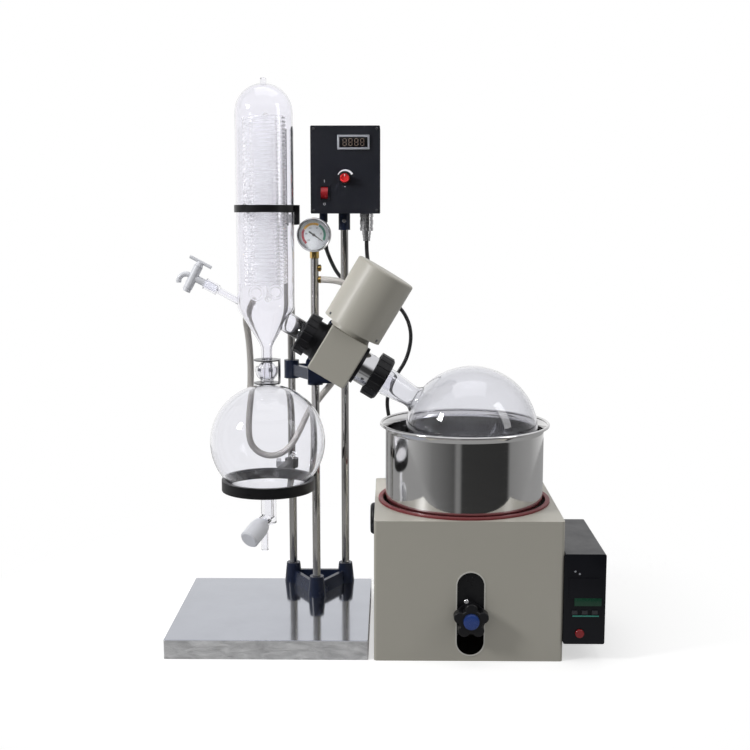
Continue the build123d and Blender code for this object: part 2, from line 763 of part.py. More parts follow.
with BuildPart() as motor_cover:
    with BuildSketch(MOTOR_FACE.offset(COVER_M0)):
        Circle(COVER_R)
    extrude(amount=COVER_M1 - COVER_M0)
    fillet(motor_cover.edges().sort_by(MOTOR_AXIS)[-1], COVER_ROUND)
    offset(amount=-COVER_WALL, openings=motor_cover.faces().sort_by(MOTOR_AXIS)[0])

# Condenser jacket with its drop tube, vapour arm, feed arm, vacuum barb and water ports
barb_flat = Vector(cos(radians(BARB_AZ)), sin(radians(BARB_AZ)), 0)
barb_out = barb_flat * cos(radians(BARB_DIP)) - UP * sin(radians(BARB_DIP))
barb_wall = COND_R / cos(radians(BARB_DIP))
barb_plane = Plane((COND_X, 0, BARB_Z), z_dir=barb_out)
water_planes = [Plane((COND_X, 0, z), x_dir=UP, z_dir=BACK) for z in (COIL_Z0, COIL_Z1)]
with BuildPart() as condenser_body:
    dome_z = COND_TOP_Z - COND_R
    with BuildSketch(Plane.XZ):
        with BuildLine():
            Polyline(
                (COND_X, BALL_Z - BALL_CUT),
                (COND_X + sqrt(BALL_R**2 - BALL_CUT**2), BALL_Z - BALL_CUT),
            )
            ThreePointArc(
                (COND_X + sqrt(BALL_R**2 - BALL_CUT**2), BALL_Z - BALL_CUT),
                (COND_X + BALL_R, BALL_Z),
                (COND_X + DROP_R, BALL_Z + sqrt(BALL_R**2 - DROP_R**2)),
            )
            Polyline(
                (COND_X + DROP_R, BALL_Z + sqrt(BALL_R**2 - DROP_R**2)),
                (COND_X + DROP_R, CONE_Z),
                (COND_X + COND_R, COND_WELD_Z),
                (COND_X + COND_R, dome_z),
            )
            ThreePointArc(
                (COND_X + COND_R, dome_z),
                (COND_X + COND_R * sin(pi / 4), dome_z + COND_R * cos(pi / 4)),
                (COND_X, COND_TOP_Z),
            )
            Line((COND_X, COND_TOP_Z), (COND_X, BALL_Z - BALL_CUT))
        make_face()
    revolve(axis=COND_AXIS)
    with Locations((COND_X, 0, COND_TOP_Z)):
        Cylinder(COND_TIP_R, 2 * COND_TIP_H)
    with BuildSketch(SPIN_FACE.offset(SLEEVE_T1)):
        Circle(ARM_R)
    extrude(amount=ARM_END_T - SLEEVE_T1)
    with BuildSketch(SPIN_FACE.offset(SLEEVE_T1)):
        Circle(ARM_FLANGE_R)
    extrude(amount=ARM_FLANGE_T)
    with BuildSketch(Plane(FEED_FOOT, x_dir=FEED_UP, z_dir=FEED_DIR)):
        Circle(FEED_R)
    extrude(amount=FEED_ARM)
    with BuildSketch(Plane(FEED_FOOT + FEED_DIR * FEED_ARM, x_dir=FEED_UP, z_dir=FEED_DIR)):
        Circle(SOCKET_R)
    extrude(amount=SOCKET_L)
    with BuildSketch(barb_plane):
        Circle(NIPPLE_R)
    extrude(amount=barb_wall + BARB_L)
    for port in water_planes:
        with BuildSketch(port):
            Circle(WATER_R + WATER_STEP + COND_WALL)
        extrude(amount=COND_R + COND_WALL)
    with BuildSketch(Plane.XZ):
        with BuildLine():
            Polyline(
                (COND_X, BALL_Z - BALL_R),
                (COND_X + DROP_R - DROP_WALL, BALL_Z - BALL_R),
                (COND_X + DROP_R - DROP_WALL, CONE_Z),
                (COND_X + COND_R - COND_WALL, COND_WELD_Z),
                (COND_X + COND_R - COND_WALL, dome_z),
            )
            ThreePointArc(
                (COND_X + COND_R - COND_WALL, dome_z),
                (COND_X + (COND_R - COND_WALL) * sin(pi / 4), dome_z + (COND_R - COND_WALL) * cos(pi / 4)),
                (COND_X, COND_TOP_Z - COND_WALL),
            )
            Line((COND_X, COND_TOP_Z - COND_WALL), (COND_X, BALL_Z - BALL_R))
        make_face()
    revolve(axis=COND_AXIS, mode=Mode.SUBTRACT)
    with BuildSketch(SPIN_FACE.offset(SLEEVE_T1)):
        Circle(ARM_R - ARM_WALL)
    extrude(amount=ARM_END_T - SLEEVE_T1, mode=Mode.SUBTRACT)
    with BuildSketch(Plane(FEED_FOOT - FEED_DIR * FEED_R, x_dir=FEED_UP, z_dir=FEED_DIR)):
        Circle(FEED_BORE)
    extrude(amount=FEED_ARM + 2 * FEED_R, mode=Mode.SUBTRACT)
    with BuildSketch(FEED_SIDE):
        with BuildLine():
            Polyline(
                (FEED_ARM + DROP_WALL, 0),
                (FEED_ARM + DROP_WALL, CONE_R1 + SEAT),
                (FEED_ARM + SOCKET_L, CONE_R0 + SEAT),
                (FEED_ARM + SOCKET_L, 0),
                close=True,
            )
        make_face()
    revolve(axis=FEED_AXIS, mode=Mode.SUBTRACT)
    with BuildSketch(barb_plane):
        Circle(BARB_BORE)
    extrude(amount=barb_wall + BARB_L, mode=Mode.SUBTRACT)
    for port in water_planes:
        with BuildSketch(port):
            Circle(WATER_R + WATER_STEP)
        extrude(amount=COND_R + WATER_L, mode=Mode.SUBTRACT)

# Cooling coil, close-wound, with its two water ends led out at the back
with BuildPart() as condenser_coil:
    rib = (COIL_Z1 - COIL_Z0) / COIL_RIBS
    outer = []
    for k in range(COIL_RIBS):
        outer += [(COND_X + COIL_R - RIB_DEPTH, COIL_Z0 + k * rib), (COND_X + COIL_R, COIL_Z0 + (k + 0.5) * rib)]
    outer.append((COND_X + COIL_R - RIB_DEPTH, COIL_Z1))
    with BuildSketch(Plane.XZ):
        with BuildLine():
            Polyline(
                *outer,
                (COND_X + COIL_R - RIB_DEPTH - COIL_WALL, COIL_Z1),
                (COND_X + COIL_R - RIB_DEPTH - COIL_WALL, COIL_Z0),
                close=True,
            )
        make_face()
    revolve(axis=COND_AXIS)
    for port in water_planes:
        with BuildSketch(port.offset(COIL_R - RIB_DEPTH - COIL_WALL / 2)):
            Circle(WATER_R + WATER_STEP)
        extrude(amount=COND_R + WATER_L - WATER_NIPPLE - COIL_R + RIB_DEPTH + COIL_WALL / 2)
        with BuildSketch(port.offset(COND_R + WATER_L - WATER_NIPPLE)):
            Circle(WATER_R)
        extrude(amount=WATER_NIPPLE)

# Feed tap
with BuildPart() as feed_tap_body:
    with BuildSketch(FEED_SIDE):
        with BuildLine():
            Polyline(
                (FEED_ARM + DROP_WALL, 0),
                (FEED_ARM + DROP_WALL, CONE_R1),
                (FEED_ARM + SOCKET_L, CONE_R0),
                (FEED_ARM + SOCKET_L, FEED_R),
                (TAP_AT, FEED_R),
                (TAP_AT, 0),
                close=True,
            )
        make_face()
    revolve(axis=FEED_AXIS)
    with BuildSketch(Plane(TAP_C - FEED_UP * (TAP_L / 2), x_dir=FEED_DIR, z_dir=FEED_UP)):
        Circle(TAP_R)
    extrude(amount=TAP_L)
    with BuildLine() as spout_line:
        FilletPolyline(
            TAP_C,
            TAP_C + FEED_DIR * (TAP_R + SPOUT_RUN),
            TAP_C + FEED_DIR * (TAP_R + SPOUT_RUN) - UP * SPOUT_DROP,
            radius=SPOUT_BEND,
        )
    with BuildSketch(Plane(TAP_C, x_dir=FEED_UP, z_dir=FEED_DIR)):
        Circle(SPOUT_R)
    sweep(path=spout_line.wires()[0])
    with BuildSketch(Plane(TAP_C - FEED_UP * TAP_L, x_dir=FEED_DIR, z_dir=FEED_UP)):
        Circle(KEY_R + RUN)
    extrude(amount=2 * TAP_L, mode=Mode.SUBTRACT)
    with BuildSketch(Plane(FEED_FOOT + FEED_DIR * FEED_ARM, x_dir=FEED_UP, z_dir=FEED_DIR)):
        Circle(KEY_HOLE)
    extrude(amount=TAP_AT - FEED_ARM + TAP_R, mode=Mode.SUBTRACT)
    with BuildSketch(Plane(TAP_C, x_dir=FEED_UP, z_dir=FEED_DIR)):
        Circle(KEY_HOLE)
    sweep(path=spout_line.wires()[0], mode=Mode.SUBTRACT)

with BuildPart() as feed_key:
    key_top = TAP_L / 2 + KEY_STEM
    with BuildSketch(TAP_SIDE):
        with BuildLine():
            Polyline(
                (-TAP_L / 2 - GAP - KEY_NUT_T, 0),
                (-TAP_L / 2 - GAP - KEY_NUT_T, KEY_NUT_R),
                (-TAP_L / 2 - GAP, KEY_NUT_R),
                (-TAP_L / 2 - GAP, KEY_R),
                (TAP_L / 2 + GAP, KEY_R),
                (TAP_L / 2 + GAP, KEY_NUT_R),
                (key_top, KEY_R),
                (key_top, 0),
                close=True,
            )
        make_face()
    revolve(axis=TAP_AXIS)
    with BuildSketch(Plane(TAP_C + FEED_UP * key_top - FEED_DIR * (HANDLE_L / 2), x_dir=BACK, z_dir=FEED_DIR)):
        Circle(HANDLE_R)
    extrude(amount=HANDLE_L)
    with BuildSketch(Plane(TAP_C - FEED_DIR * TAP_R, x_dir=BACK, z_dir=FEED_DIR)):
        Circle(KEY_HOLE)
    extrude(amount=2 * TAP_R, mode=Mode.SUBTRACT)

# Condenser clamp: the band, its pinch ear and the bar back to the left post
arm_root = Vector(COND_X + COND_R + SEAT + CLAMP_T + EAR_W / 2, 0)
arm_run = Vector(*LEFT_POST) - arm_root
clamp_mid_z = CLAMP_Z0 - EAR_DROP / 2
with BuildPart() as condenser_clamp:
    with BuildSketch(Plane.XY.offset(CLAMP_Z0)):
        with Locations((COND_X, 0)):
            Circle(COND_R + SEAT + CLAMP_T)
    extrude(amount=CLAMP_H)
    with Locations((arm_root.X, 0, CLAMP_Z0 + CLAMP_H)):
        Box(EAR_W + CLAMP_T, EAR_DEPTH, CLAMP_H + EAR_DROP, align=(Align.CENTER, Align.CENTER, Align.MAX))
    with BuildSketch(Plane.XY.offset(clamp_mid_z - ARM_BAR_H / 2)):
        with Locations(((arm_root + arm_run / 2).X, (arm_root + arm_run / 2).Y)):
            Rectangle(arm_run.length, ARM_BAR_T, rotation=degrees(atan2(arm_run.Y, arm_run.X)))
    extrude(amount=ARM_BAR_H)
    with BuildSketch(Plane.XY.offset(clamp_mid_z - GRIP_H / 2)):
        with Locations(LEFT_POST):
            Circle(GRIP_R)
    extrude(amount=GRIP_H)
    with BuildSketch(Plane.XY.offset(clamp_mid_z - GRIP_H)):
        with Locations((COND_X, 0)):
            Circle(COND_R + SEAT)
        with Locations(LEFT_POST):
            Circle(POST_R + SEAT)
    extrude(amount=3 * GRIP_H, mode=Mode.SUBTRACT)

# Receiver, its ring on the left post and the clip that holds the ball joint shut
spout_at = (RECV_X - DRAIN_SPOUT_SHIFT, 0)
with BuildPart() as receiving_flask:
    with Locations((RECV_X, 0, RECV_Z)):
        Sphere(RECV_R)
    with Locations((RECV_X, 0, BALL_Z)):
        Sphere(CUP_R)
    with BuildSketch(Plane.XY.offset(RECV_Z)):
        with Locations((RECV_X, 0)):
            Circle(DROP_R + DROP_WALL)
    extrude(amount=BALL_Z - RECV_Z)
    with BuildSketch(Plane.XY.offset(DRAIN_Z - DRAIN_R)):
        with Locations((RECV_X, 0)):
            Circle(DRAIN_R)
    extrude(amount=RECV_Z - DRAIN_Z)
    with BuildSketch(Plane(VALVE_C, z_dir=VALVE_DIR)):
        Circle(CHAMBER_R)
    extrude(amount=CHAMBER_L)
    with BuildSketch(Plane.XY.offset(DRAIN_SPOUT_Z)):
        with Locations(spout_at):
            Circle(DRAIN_SPOUT_R)
    extrude(amount=DRAIN_Z - DRAIN_SPOUT_Z)
    with Locations((RECV_X, 0, BALL_Z + CUP_TOP)):
        Cylinder(2 * CUP_R, 4 * CUP_R, align=(Align.CENTER, Align.CENTER, Align.MIN), mode=Mode.SUBTRACT)
    with Locations((RECV_X, 0, RECV_Z)):
        Sphere(RECV_R - RECV_WALL, mode=Mode.SUBTRACT)
    with Locations((RECV_X, 0, BALL_Z)):
        Sphere(BALL_R + SEAT, mode=Mode.SUBTRACT)
    with BuildSketch(Plane.XY.offset(DRAIN_Z)):
        with Locations((RECV_X, 0)):
            Circle(DROP_R - DROP_WALL)
    extrude(amount=BALL_Z - DRAIN_Z, mode=Mode.SUBTRACT)
    with BuildSketch(Plane(VALVE_C, z_dir=VALVE_DIR)):
        Circle(STEM_R + GAP)
    extrude(amount=2 * CHAMBER_L, mode=Mode.SUBTRACT)
    with BuildSketch(Plane.XY.offset(DRAIN_SPOUT_Z)):
        with Locations(spout_at):
            Circle(DRAIN_SPOUT_R - DRAIN_WALL)
    extrude(amount=DRAIN_Z - DRAIN_SPOUT_Z - STEM_R, mode=Mode.SUBTRACT)

with BuildPart() as receiver_ring:
    ring_arm = Vector(*LEFT_POST) - Vector(RECV_X, 0)
    with BuildSketch(Plane.XY.offset(RING_Z0)):
        with Locations((RECV_X, 0)):
            Circle(RING_R)
        with Locations(LEFT_POST):
            Circle(GRIP_R)
        arm_mid = ring_arm.normalized() * (ring_arm.length + RING_BORE) / 2
        with Locations((RECV_X + arm_mid.X, arm_mid.Y)):
            Rectangle(ring_arm.length - RING_BORE, 2 * ARM_BAR_T, rotation=degrees(atan2(ring_arm.Y, ring_arm.X)))
    extrude(amount=RING_H)
    with BuildSketch(Plane.XY.offset(RING_Z0 - RING_H)):
        with Locations((RECV_X, 0)):
            Circle(RING_BORE)
        with Locations(LEFT_POST):
            Circle(POST_R + SEAT)
    extrude(amount=3 * RING_H, mode=Mode.SUBTRACT)
    with Locations((RECV_X, 0, RECV_Z)):
        Sphere(RECV_R + SEAT, mode=Mode.SUBTRACT)

# Bolts under the tray, the screws that pinch the hubs on the posts, and the clamps' thumb screws
with BuildPart() as fasteners:
    for x, y in POSTS:
        with Locations((x, y, TRAY_H - SHEET)):
            Cylinder(FOOT_BOLT_HEAD_R, FOOT_BOLT_HEAD_H, align=(Align.CENTER, Align.CENTER, Align.MAX))
            Cylinder(POST_BORE - SEAT, FOOT_BOLT_L, align=(Align.CENTER, Align.CENTER, Align.MIN))
    base_screw_z = TRAY_H + BASE_HUB_H - 2 * GRUB_HEAD_R
    base_screw_r = BASE_HUB_TOP_R + (BASE_HUB_FOOT_R - BASE_HUB_TOP_R) * 3 * GRUB_HEAD_R / BASE_HUB_H
    for z, reach in ((base_screw_z, base_screw_r), (SPIDER_Z + SPIDER_HUB_H / 2, SPIDER_HUB_R)):
        for x, y in (LEFT_POST, RIGHT_POST):
            with BuildSketch(Plane((x, y + reach, z), x_dir=(1, 0, 0), z_dir=BACK)):
                Circle(GRUB_HEAD_R)
            extrude(amount=GRUB_HEAD_H)
    for z in (clamp_mid_z, RING_Z0 + RING_H / 2):
        with BuildSketch(Plane((LEFT_POST[0] - GRIP_R, LEFT_POST[1], z), x_dir=UP, z_dir=(-1, 0, 0))):
            Circle(THUMB_STEM_R)
        extrude(amount=THUMB_STEM_L)
        with BuildSketch(Plane((LEFT_POST[0] - GRIP_R - THUMB_STEM_L, LEFT_POST[1], z), x_dir=UP, z_dir=(-1, 0, 0))):
            RegularPolygon(THUMB_R, 6)
        extrude(amount=THUMB_T)

with BuildPart() as joint_clip:
    clip_bottom = BALL_Z - CUP_R - CLIP_LIFT
    clip_top = BALL_Z + CUP_R - CLIP_LIFT
    for z, bore in ((clip_bottom, DROP_R + DROP_WALL), (clip_top, DROP_R)):
        with BuildSketch(Plane.XY.offset(z)):
            with Locations((RECV_X, 0)):
                Circle(CLIP_R)
                Circle(bore + SEAT, mode=Mode.SUBTRACT)
        extrude(amount=CLIP_T)
    with Locations((RECV_X + CLIP_R, 0, clip_bottom)):
        Box(CLIP_T, CLIP_R, clip_top - clip_bottom + CLIP_T, align=(Align.MAX, Align.CENTER, Align.MIN))

# Drain valve
with BuildPart() as drain_stem:
    with BuildSketch(Plane(VALVE_C + VALVE_DIR * STEM_TIP, z_dir=VALVE_DIR)):
        Circle(STEM_R)
    extrude(amount=CHAMBER_L + VALVE_TRAVEL - STEM_TIP)
    chamfer(drain_stem.edges().sort_by(VALVE_AXIS)[0], STEM_R / 2)

with BuildPart() as drain_knob:
    knob_0 = CHAMBER_L - VALVE_SKIRT
    with BuildSketch(VALVE_SIDE):
        with BuildLine():
            Polyline(
                (knob_0, CHAMBER_R + GAP),
                (knob_0, VALVE_KNOB_R - DRAIN_WALL),
                (knob_0 + VALVE_SKIRT, VALVE_KNOB_R),
                (knob_0 + VALVE_KNOB_L - DRAIN_WALL, VALVE_KNOB_R),
                (knob_0 + VALVE_KNOB_L, VALVE_KNOB_R - DRAIN_WALL),
                (knob_0 + VALVE_KNOB_L, 0),
                (CHAMBER_L + VALVE_TRAVEL + RUN, 0),
                (CHAMBER_L + VALVE_TRAVEL + RUN, CHAMBER_R + GAP),
                close=True,
            )
        make_face()
    revolve(axis=VALVE_AXIS)

# Vacuum gauge on the front post
gauge_y0 = POST_FRONT_Y - GAUGE_FRONT
gauge_plane = Plane((POST_X, gauge_y0, GAUGE_Z), x_dir=(1, 0, 0), z_dir=BACK)
with BuildPart() as gauge_case:
    with BuildSketch(gauge_plane):
        Circle(GAUGE_R)
    extrude(amount=GAUGE_DEPTH)
    fillet(gauge_case.edges().sort_by(Axis.Y)[0], GAUGE_WALL / 2)
    with BuildSketch(gauge_plane):
        Circle(GAUGE_R - GAUGE_BEZEL)
    extrude(amount=DIAL_SINK, mode=Mode.SUBTRACT)

with BuildPart() as gauge_lens:
    with BuildSketch(gauge_plane):
        Circle(GAUGE_R - GAUGE_BEZEL - SEAT)
    extrude(amount=LENS_T)

needle_way = Vector(sin(radians(NEEDLE_REST)), -cos(radians(NEEDLE_REST)))
needle_side = Vector(cos(radians(NEEDLE_REST)), sin(radians(NEEDLE_REST)))
with BuildPart() as gauge_needle:
    with BuildSketch(gauge_plane.offset(DIAL_SINK - NEEDLE_T - GAP)):
        Circle(NEEDLE_R)
        with BuildLine():
            Polyline(
                needle_way * -NEEDLE_TAIL - needle_side * (NEEDLE_W / 2),
                needle_way * NEEDLE_L - needle_side * (NEEDLE_TIP_W / 2),
                needle_way * NEEDLE_L + needle_side * (NEEDLE_TIP_W / 2),
                needle_way * -NEEDLE_TAIL + needle_side * (NEEDLE_W / 2),
                close=True,
            )
        make_face()
    extrude(amount=NEEDLE_T)

with BuildPart() as vacuum_fittings:
    with BuildSketch(Plane.XY.offset(FRONT_POST_TOP)):
        with Locations(FRONT_POST):
            RegularPolygon(FITTING_R, 6)
    extrude(amount=GAUGE_Z - GAUGE_R - FRONT_POST_TOP + GAUGE_BEZEL)
    with Locations((POST_X, gauge_y0 + GAUGE_DEPTH / 2, GAUGE_Z)):
        Cylinder(GAUGE_R + SEAT, GAUGE_DEPTH + 2 * GAP, rotation=(90, 0, 0), mode=Mode.SUBTRACT)
    for z, reach in ((HOSE_NIPPLE_Z, NIPPLE_L), (BLANK_NIPPLE_Z, BLANK_NIPPLE_L)):
        with BuildSketch(Plane((POST_X + POST_BORE, POST_FRONT_Y, z), x_dir=UP, z_dir=(1, 0, 0))):
            Circle(NIPPLE_R - SEAT)
        extrude(amount=POST_R - POST_BORE + reach)
        with BuildSketch(Plane((POST_X + POST_R, POST_FRONT_Y, z), x_dir=UP, z_dir=(1, 0, 0))):
            Circle(NIPPLE_COLLAR_R)
        extrude(amount=NIPPLE_COLLAR_T)

# Control box
with BuildPart() as control_box:
    with BuildSketch(Plane.XZ.offset(-BOX_FRONT)):
        with Locations(((BOX_X0 + BOX_X1) / 2, BOX_Z0 + BOX_H / 2)):
            RectangleRounded(BOX_X1 - BOX_X0, BOX_H, BOX_CORNER)
    extrude(amount=-BOX_DEPTH)
    offset(amount=-SHEET, openings=control_box.faces().sort_by(Axis.Y)[0])

with BuildPart() as control_panel:
    with BuildSketch(Plane.XZ.offset(-BOX_FRONT)):
        with Locations(((BOX_X0 + BOX_X1) / 2, BOX_Z0 + BOX_H / 2)):
            RectangleRounded(BOX_X1 - BOX_X0, BOX_H, BOX_CORNER)
    extrude(amount=SHEET)
    with BuildSketch(Plane.XZ.offset(-BOX_FRONT + SHEET)):
        with Locations(((BEZEL_X0 + BEZEL_X1) / 2, (BEZEL_Z0 + BEZEL_Z1) / 2)):
            Rectangle(BEZEL_X1 - BEZEL_X0, BEZEL_Z1 - BEZEL_Z0)
            Rectangle(BEZEL_X1 - BEZEL_X0 - 2 * WINDOW_RIM, BEZEL_Z1 - BEZEL_Z0 - 2 * WINDOW_RIM, mode=Mode.SUBTRACT)
        with Locations((ROCKER_X, ROCKER_Z)):
            Rectangle(ROCKER_W + 2 * ROCKER_FRAME, ROCKER_H + 2 * ROCKER_FRAME)
    extrude(amount=BEZEL_RISE)
    with BuildSketch(Plane.XZ.offset(-BOX_FRONT - SHEET)):
        with Locations((ROCKER_X, ROCKER_Z)):
            Rectangle(ROCKER_W + 2 * GAP, ROCKER_H + 6 * GAP)
        with Locations((SPEED_X, SPEED_Z)):
            Circle(SPEED_SHAFT_R + RUN)
    extrude(amount=4 * BEZEL_RISE, mode=Mode.SUBTRACT)

panel_front = BOX_FRONT - SHEET
with BuildPart() as speed_knob:
    with BuildSketch(Plane.XZ.offset(-panel_front + GAP)):
        with Locations((SPEED_X, SPEED_Z)):
            Circle(SPEED_SKIRT_R)
    extrude(amount=SPEED_SKIRT_T)
    with BuildSketch(Plane.XZ.offset(-panel_front + GAP + SPEED_SKIRT_T)):
        with Locations((SPEED_X, SPEED_Z)):
            Circle(SPEED_CAP_R)
    extrude(amount=SPEED_L - SPEED_SKIRT_T, taper=3)
    with BuildSketch(Plane.XZ.offset(-panel_front + GAP)):
        with Locations((SPEED_X, SPEED_Z)):
            Circle(SPEED_SHAFT_R)
    extrude(amount=-SPEED_L)

rocker_y = panel_front - BEZEL_RISE + ROCKER_SINK
with BuildPart() as power_rocker:
    with BuildSketch(Plane.YZ.offset(ROCKER_X - ROCKER_W / 2)):
        with Locations((rocker_y, ROCKER_Z)):
            Circle(ROCKER_R)
            with Locations((ROCKER_R / 2, 0)):
                Rectangle(ROCKER_R, 2 * ROCKER_R, mode=Mode.SUBTRACT)
            with Locations((0, ROCKER_H / 2 + ROCKER_R / 2), (0, -ROCKER_H / 2 - ROCKER_R / 2)):
                Rectangle(2 * ROCKER_R, ROCKER_R, mode=Mode.SUBTRACT)
    extrude(amount=ROCKER_W)

# Post socket, cord gland and the motor's round connector under the box
with BuildPart() as box_fittings:
    for (x, y), r, h in ((RIGHT_POST, SOCKET_COLLAR_R, SOCKET_COLLAR_H), ((GLAND_X, GLAND_Y), GLAND_R, GLAND_H),
                         ((PLUG_X, PLUG_Y), PLUG_R, PLUG_H)):
        with BuildSketch(Plane.XY.offset(BOX_Z0)):
            with Locations((x, y)):
                Circle(r)
        extrude(amount=-h)
    with BuildSketch(Plane.XY.offset(BOX_Z0 - PLUG_H)):
        with Locations((PLUG_X, PLUG_Y)):
            Circle(PLUG_TAIL_R)
    extrude(amount=-PLUG_TAIL_H)
    with Locations((*RIGHT_POST, BOX_Z0)):
        Cylinder(POST_R + SEAT, 3 * SOCKET_COLLAR_H, mode=Mode.SUBTRACT)

# Bath casing: folded wrap, top with the round opening, floor with two lift rods
slot_mid_z = (SLOT_Z0 + SLOT_Z1) / 2
casing_in_w = CASING_W - 2 * SHEET
casing_in_d = CASING_D - 2 * SHEET
top_z = CASING_H - SHEET
with BuildPart() as bath_wrap:
    with BuildSketch():
        with Locations((BATH_X, 0)):
            RectangleRounded(CASING_W, CASING_D, CASING_CORNER)
            RectangleRounded(casing_in_w, casing_in_d, CASING_CORNER - SHEET, mode=Mode.SUBTRACT)
    extrude(amount=CASING_H)
    with BuildSketch(Plane.XY.offset(top_z - SHEET)):
        with Locations((BATH_X, 0)):
            RectangleRounded(casing_in_w, casing_in_d, CASING_CORNER - SHEET)
            Rectangle(casing_in_w - 2 * TOP_LEDGE, casing_in_d - 2 * TOP_LEDGE, mode=Mode.SUBTRACT)
    extrude(amount=SHEET)
    with BuildSketch(Plane.XZ.offset(-CASING_FRONT - SHEET * 2)):
        with Locations((SLOT_X, slot_mid_z)):
            SlotOverall(SLOT_Z1 - SLOT_Z0, SLOT_W, rotation=90)
    extrude(amount=4 * SHEET, mode=Mode.SUBTRACT)

with BuildPart() as bath_top:
    with BuildSketch(Plane.XY.offset(top_z)):
        with Locations((BATH_X, 0)):
            RectangleRounded(casing_in_w - 2 * SEAT, casing_in_d - 2 * SEAT, CASING_CORNER - SHEET)
            Circle(TOP_HOLE_R, mode=Mode.SUBTRACT)
    extrude(amount=SHEET)

rod_places = [(BATH_X + s * (CASING_W / 2 - ROD_INSET_X), CASING_FRONT + ROD_INSET_Y) for s in (-1, 1)]
with BuildPart() as bath_floor:
    with BuildSketch():
        with Locations((BATH_X, 0)):
            RectangleRounded(casing_in_w - 2 * SEAT, casing_in_d - 2 * SEAT, CASING_CORNER - SHEET)
    extrude(amount=FLOOR_T)
    with Locations(*[(x, y, FLOOR_T) for x, y in rod_places]):
        Cylinder(ROD_R, top_z - SHEET - FLOOR_T, align=(Align.CENTER, Align.CENTER, Align.MIN))

with BuildPart() as bath_gasket:
    with BuildSketch(Plane.XY.offset(CASING_H)):
        with Locations((BATH_X, 0)):
            Circle(GASKET_R)
            Circle(POT_R + GASKET_GAP, mode=Mode.SUBTRACT)
    extrude(amount=GASKET_H)
    fillet(bath_gasket.faces().sort_by(Axis.Z)[-1].edges(), GASKET_H / 3)

with BuildPart() as carry_grip:
    with BuildSketch(Plane((BATH_X - CASING_W / 2, GRIP_Y, GRIP_Z), x_dir=BACK, z_dir=(-1, 0, 0))):
        Circle(GRIP_PAD_R)
    extrude(amount=GRIP_PAD_T)
    fillet(carry_grip.edges().sort_by(Axis.X)[0], GRIP_PAD_T * 0.8)

# Pot with a rolled rim, riding on the carrier
pot_axis = Axis((BATH_X, 0, 0), UP)
with BuildPart() as bath_pot:
    rim_r = POT_RIM_R - RIM_ROLL_R
    with BuildSketch(Plane.XZ):
        with BuildLine():
            pot_line = FilletPolyline(
                (BATH_X, POT_FLOOR_Z - POT_WALL / 2),
                (BATH_X + POT_R - POT_WALL / 2, POT_FLOOR_Z - POT_WALL / 2),
                (BATH_X + POT_R - POT_WALL / 2, POT_RIM_Z - POT_FLARE),
                (BATH_X + rim_r, POT_RIM_Z - RIM_ROLL_R),
                radius=[POT_CORNER, POT_CORNER / 2],
            )
            offset(pot_line, amount=POT_WALL / 2, kind=Kind.INTERSECTION, mode=Mode.REPLACE)
        make_face()
        with Locations((BATH_X + rim_r, POT_RIM_Z - RIM_ROLL_R)):
            Circle(RIM_ROLL_R)
        with Locations((BATH_X - POT_R, POT_RIM_Z / 2)):
            Rectangle(2 * POT_R, 2 * POT_RIM_Z, mode=Mode.SUBTRACT)
    revolve(axis=pot_axis)

carrier_z1 = POT_FLOOR_Z - POT_WALL - 2 * ELEMENT_TUBE_R
apron_y = CASING_FRONT + SHEET + GAP
with BuildPart() as pot_carrier:
    with BuildSketch(Plane.XY.offset(carrier_z1)):
        with Locations((BATH_X, apron_y)):
            Rectangle(CASING_W - 2 * ROD_INSET_X, CARRIER_BACK - apron_y, align=(Align.CENTER, Align.MIN))
    extrude(amount=-CARRIER_T)
    with Locations(*[(x, y, carrier_z1) for x, y in rod_places]):
        Cylinder(ROD_BUSH_R, ROD_BUSH_H, align=(Align.CENTER, Align.CENTER, Align.MAX))
    with Locations((SLOT_X, apron_y, carrier_z1)):
        Box(APRON_W, APRON_T, APRON_DROP, align=(Align.CENTER, Align.MIN, Align.MAX))
    with BuildSketch(Plane.XZ.offset(-apron_y)):
        with Locations((SLOT_X, STAR_Z)):
            Circle(STUD_R)
    extrude(amount=STUD_L)
    with Locations(*[(x, y, carrier_z1) for x, y in rod_places]):
        Cylinder(ROD_R + RUN, 3 * ROD_BUSH_H, mode=Mode.SUBTRACT)

with BuildPart() as heating_element:
    with Locations((BATH_X, 0, carrier_z1 + ELEMENT_TUBE_R)):
        Torus(ELEMENT_R, ELEMENT_TUBE_R)

star_y = CASING_FRONT - GAP
with BuildPart() as star_knob:
    with BuildSketch(Plane.XZ.offset(-star_y)):
        with Locations((SLOT_X, STAR_Z)):
            Circle(STAR_BOSS_R)
    extrude(amount=STAR_BOSS_T)
    with BuildSketch(Plane.XZ.offset(-star_y + STAR_BOSS_T)):
        with Locations((SLOT_X, STAR_Z)):
            Circle(STAR_HUB_R)
            with PolarLocations(STAR_HUB_R, STAR_LOBES, start_angle=90):
                Circle(STAR_LOBE_R)
    extrude(amount=STAR_T)
    fillet(star_knob.faces().sort_by(Axis.Y)[0].edges(), STAR_T / 8)
    with BuildSketch(Plane.XZ.offset(-star_y + STAR_BOSS_T + STAR_T)):
        with Locations((SLOT_X, STAR_Z)):
            Circle(STAR_CAP_R)
    extrude(amount=STAR_CAP_T)
    with BuildSketch(Plane.XZ.offset(-star_y)):
        with Locations((SLOT_X, STAR_Z)):
            Circle(STUD_R + RUN)
    extrude(amount=STUD_L, mode=Mode.SUBTRACT)

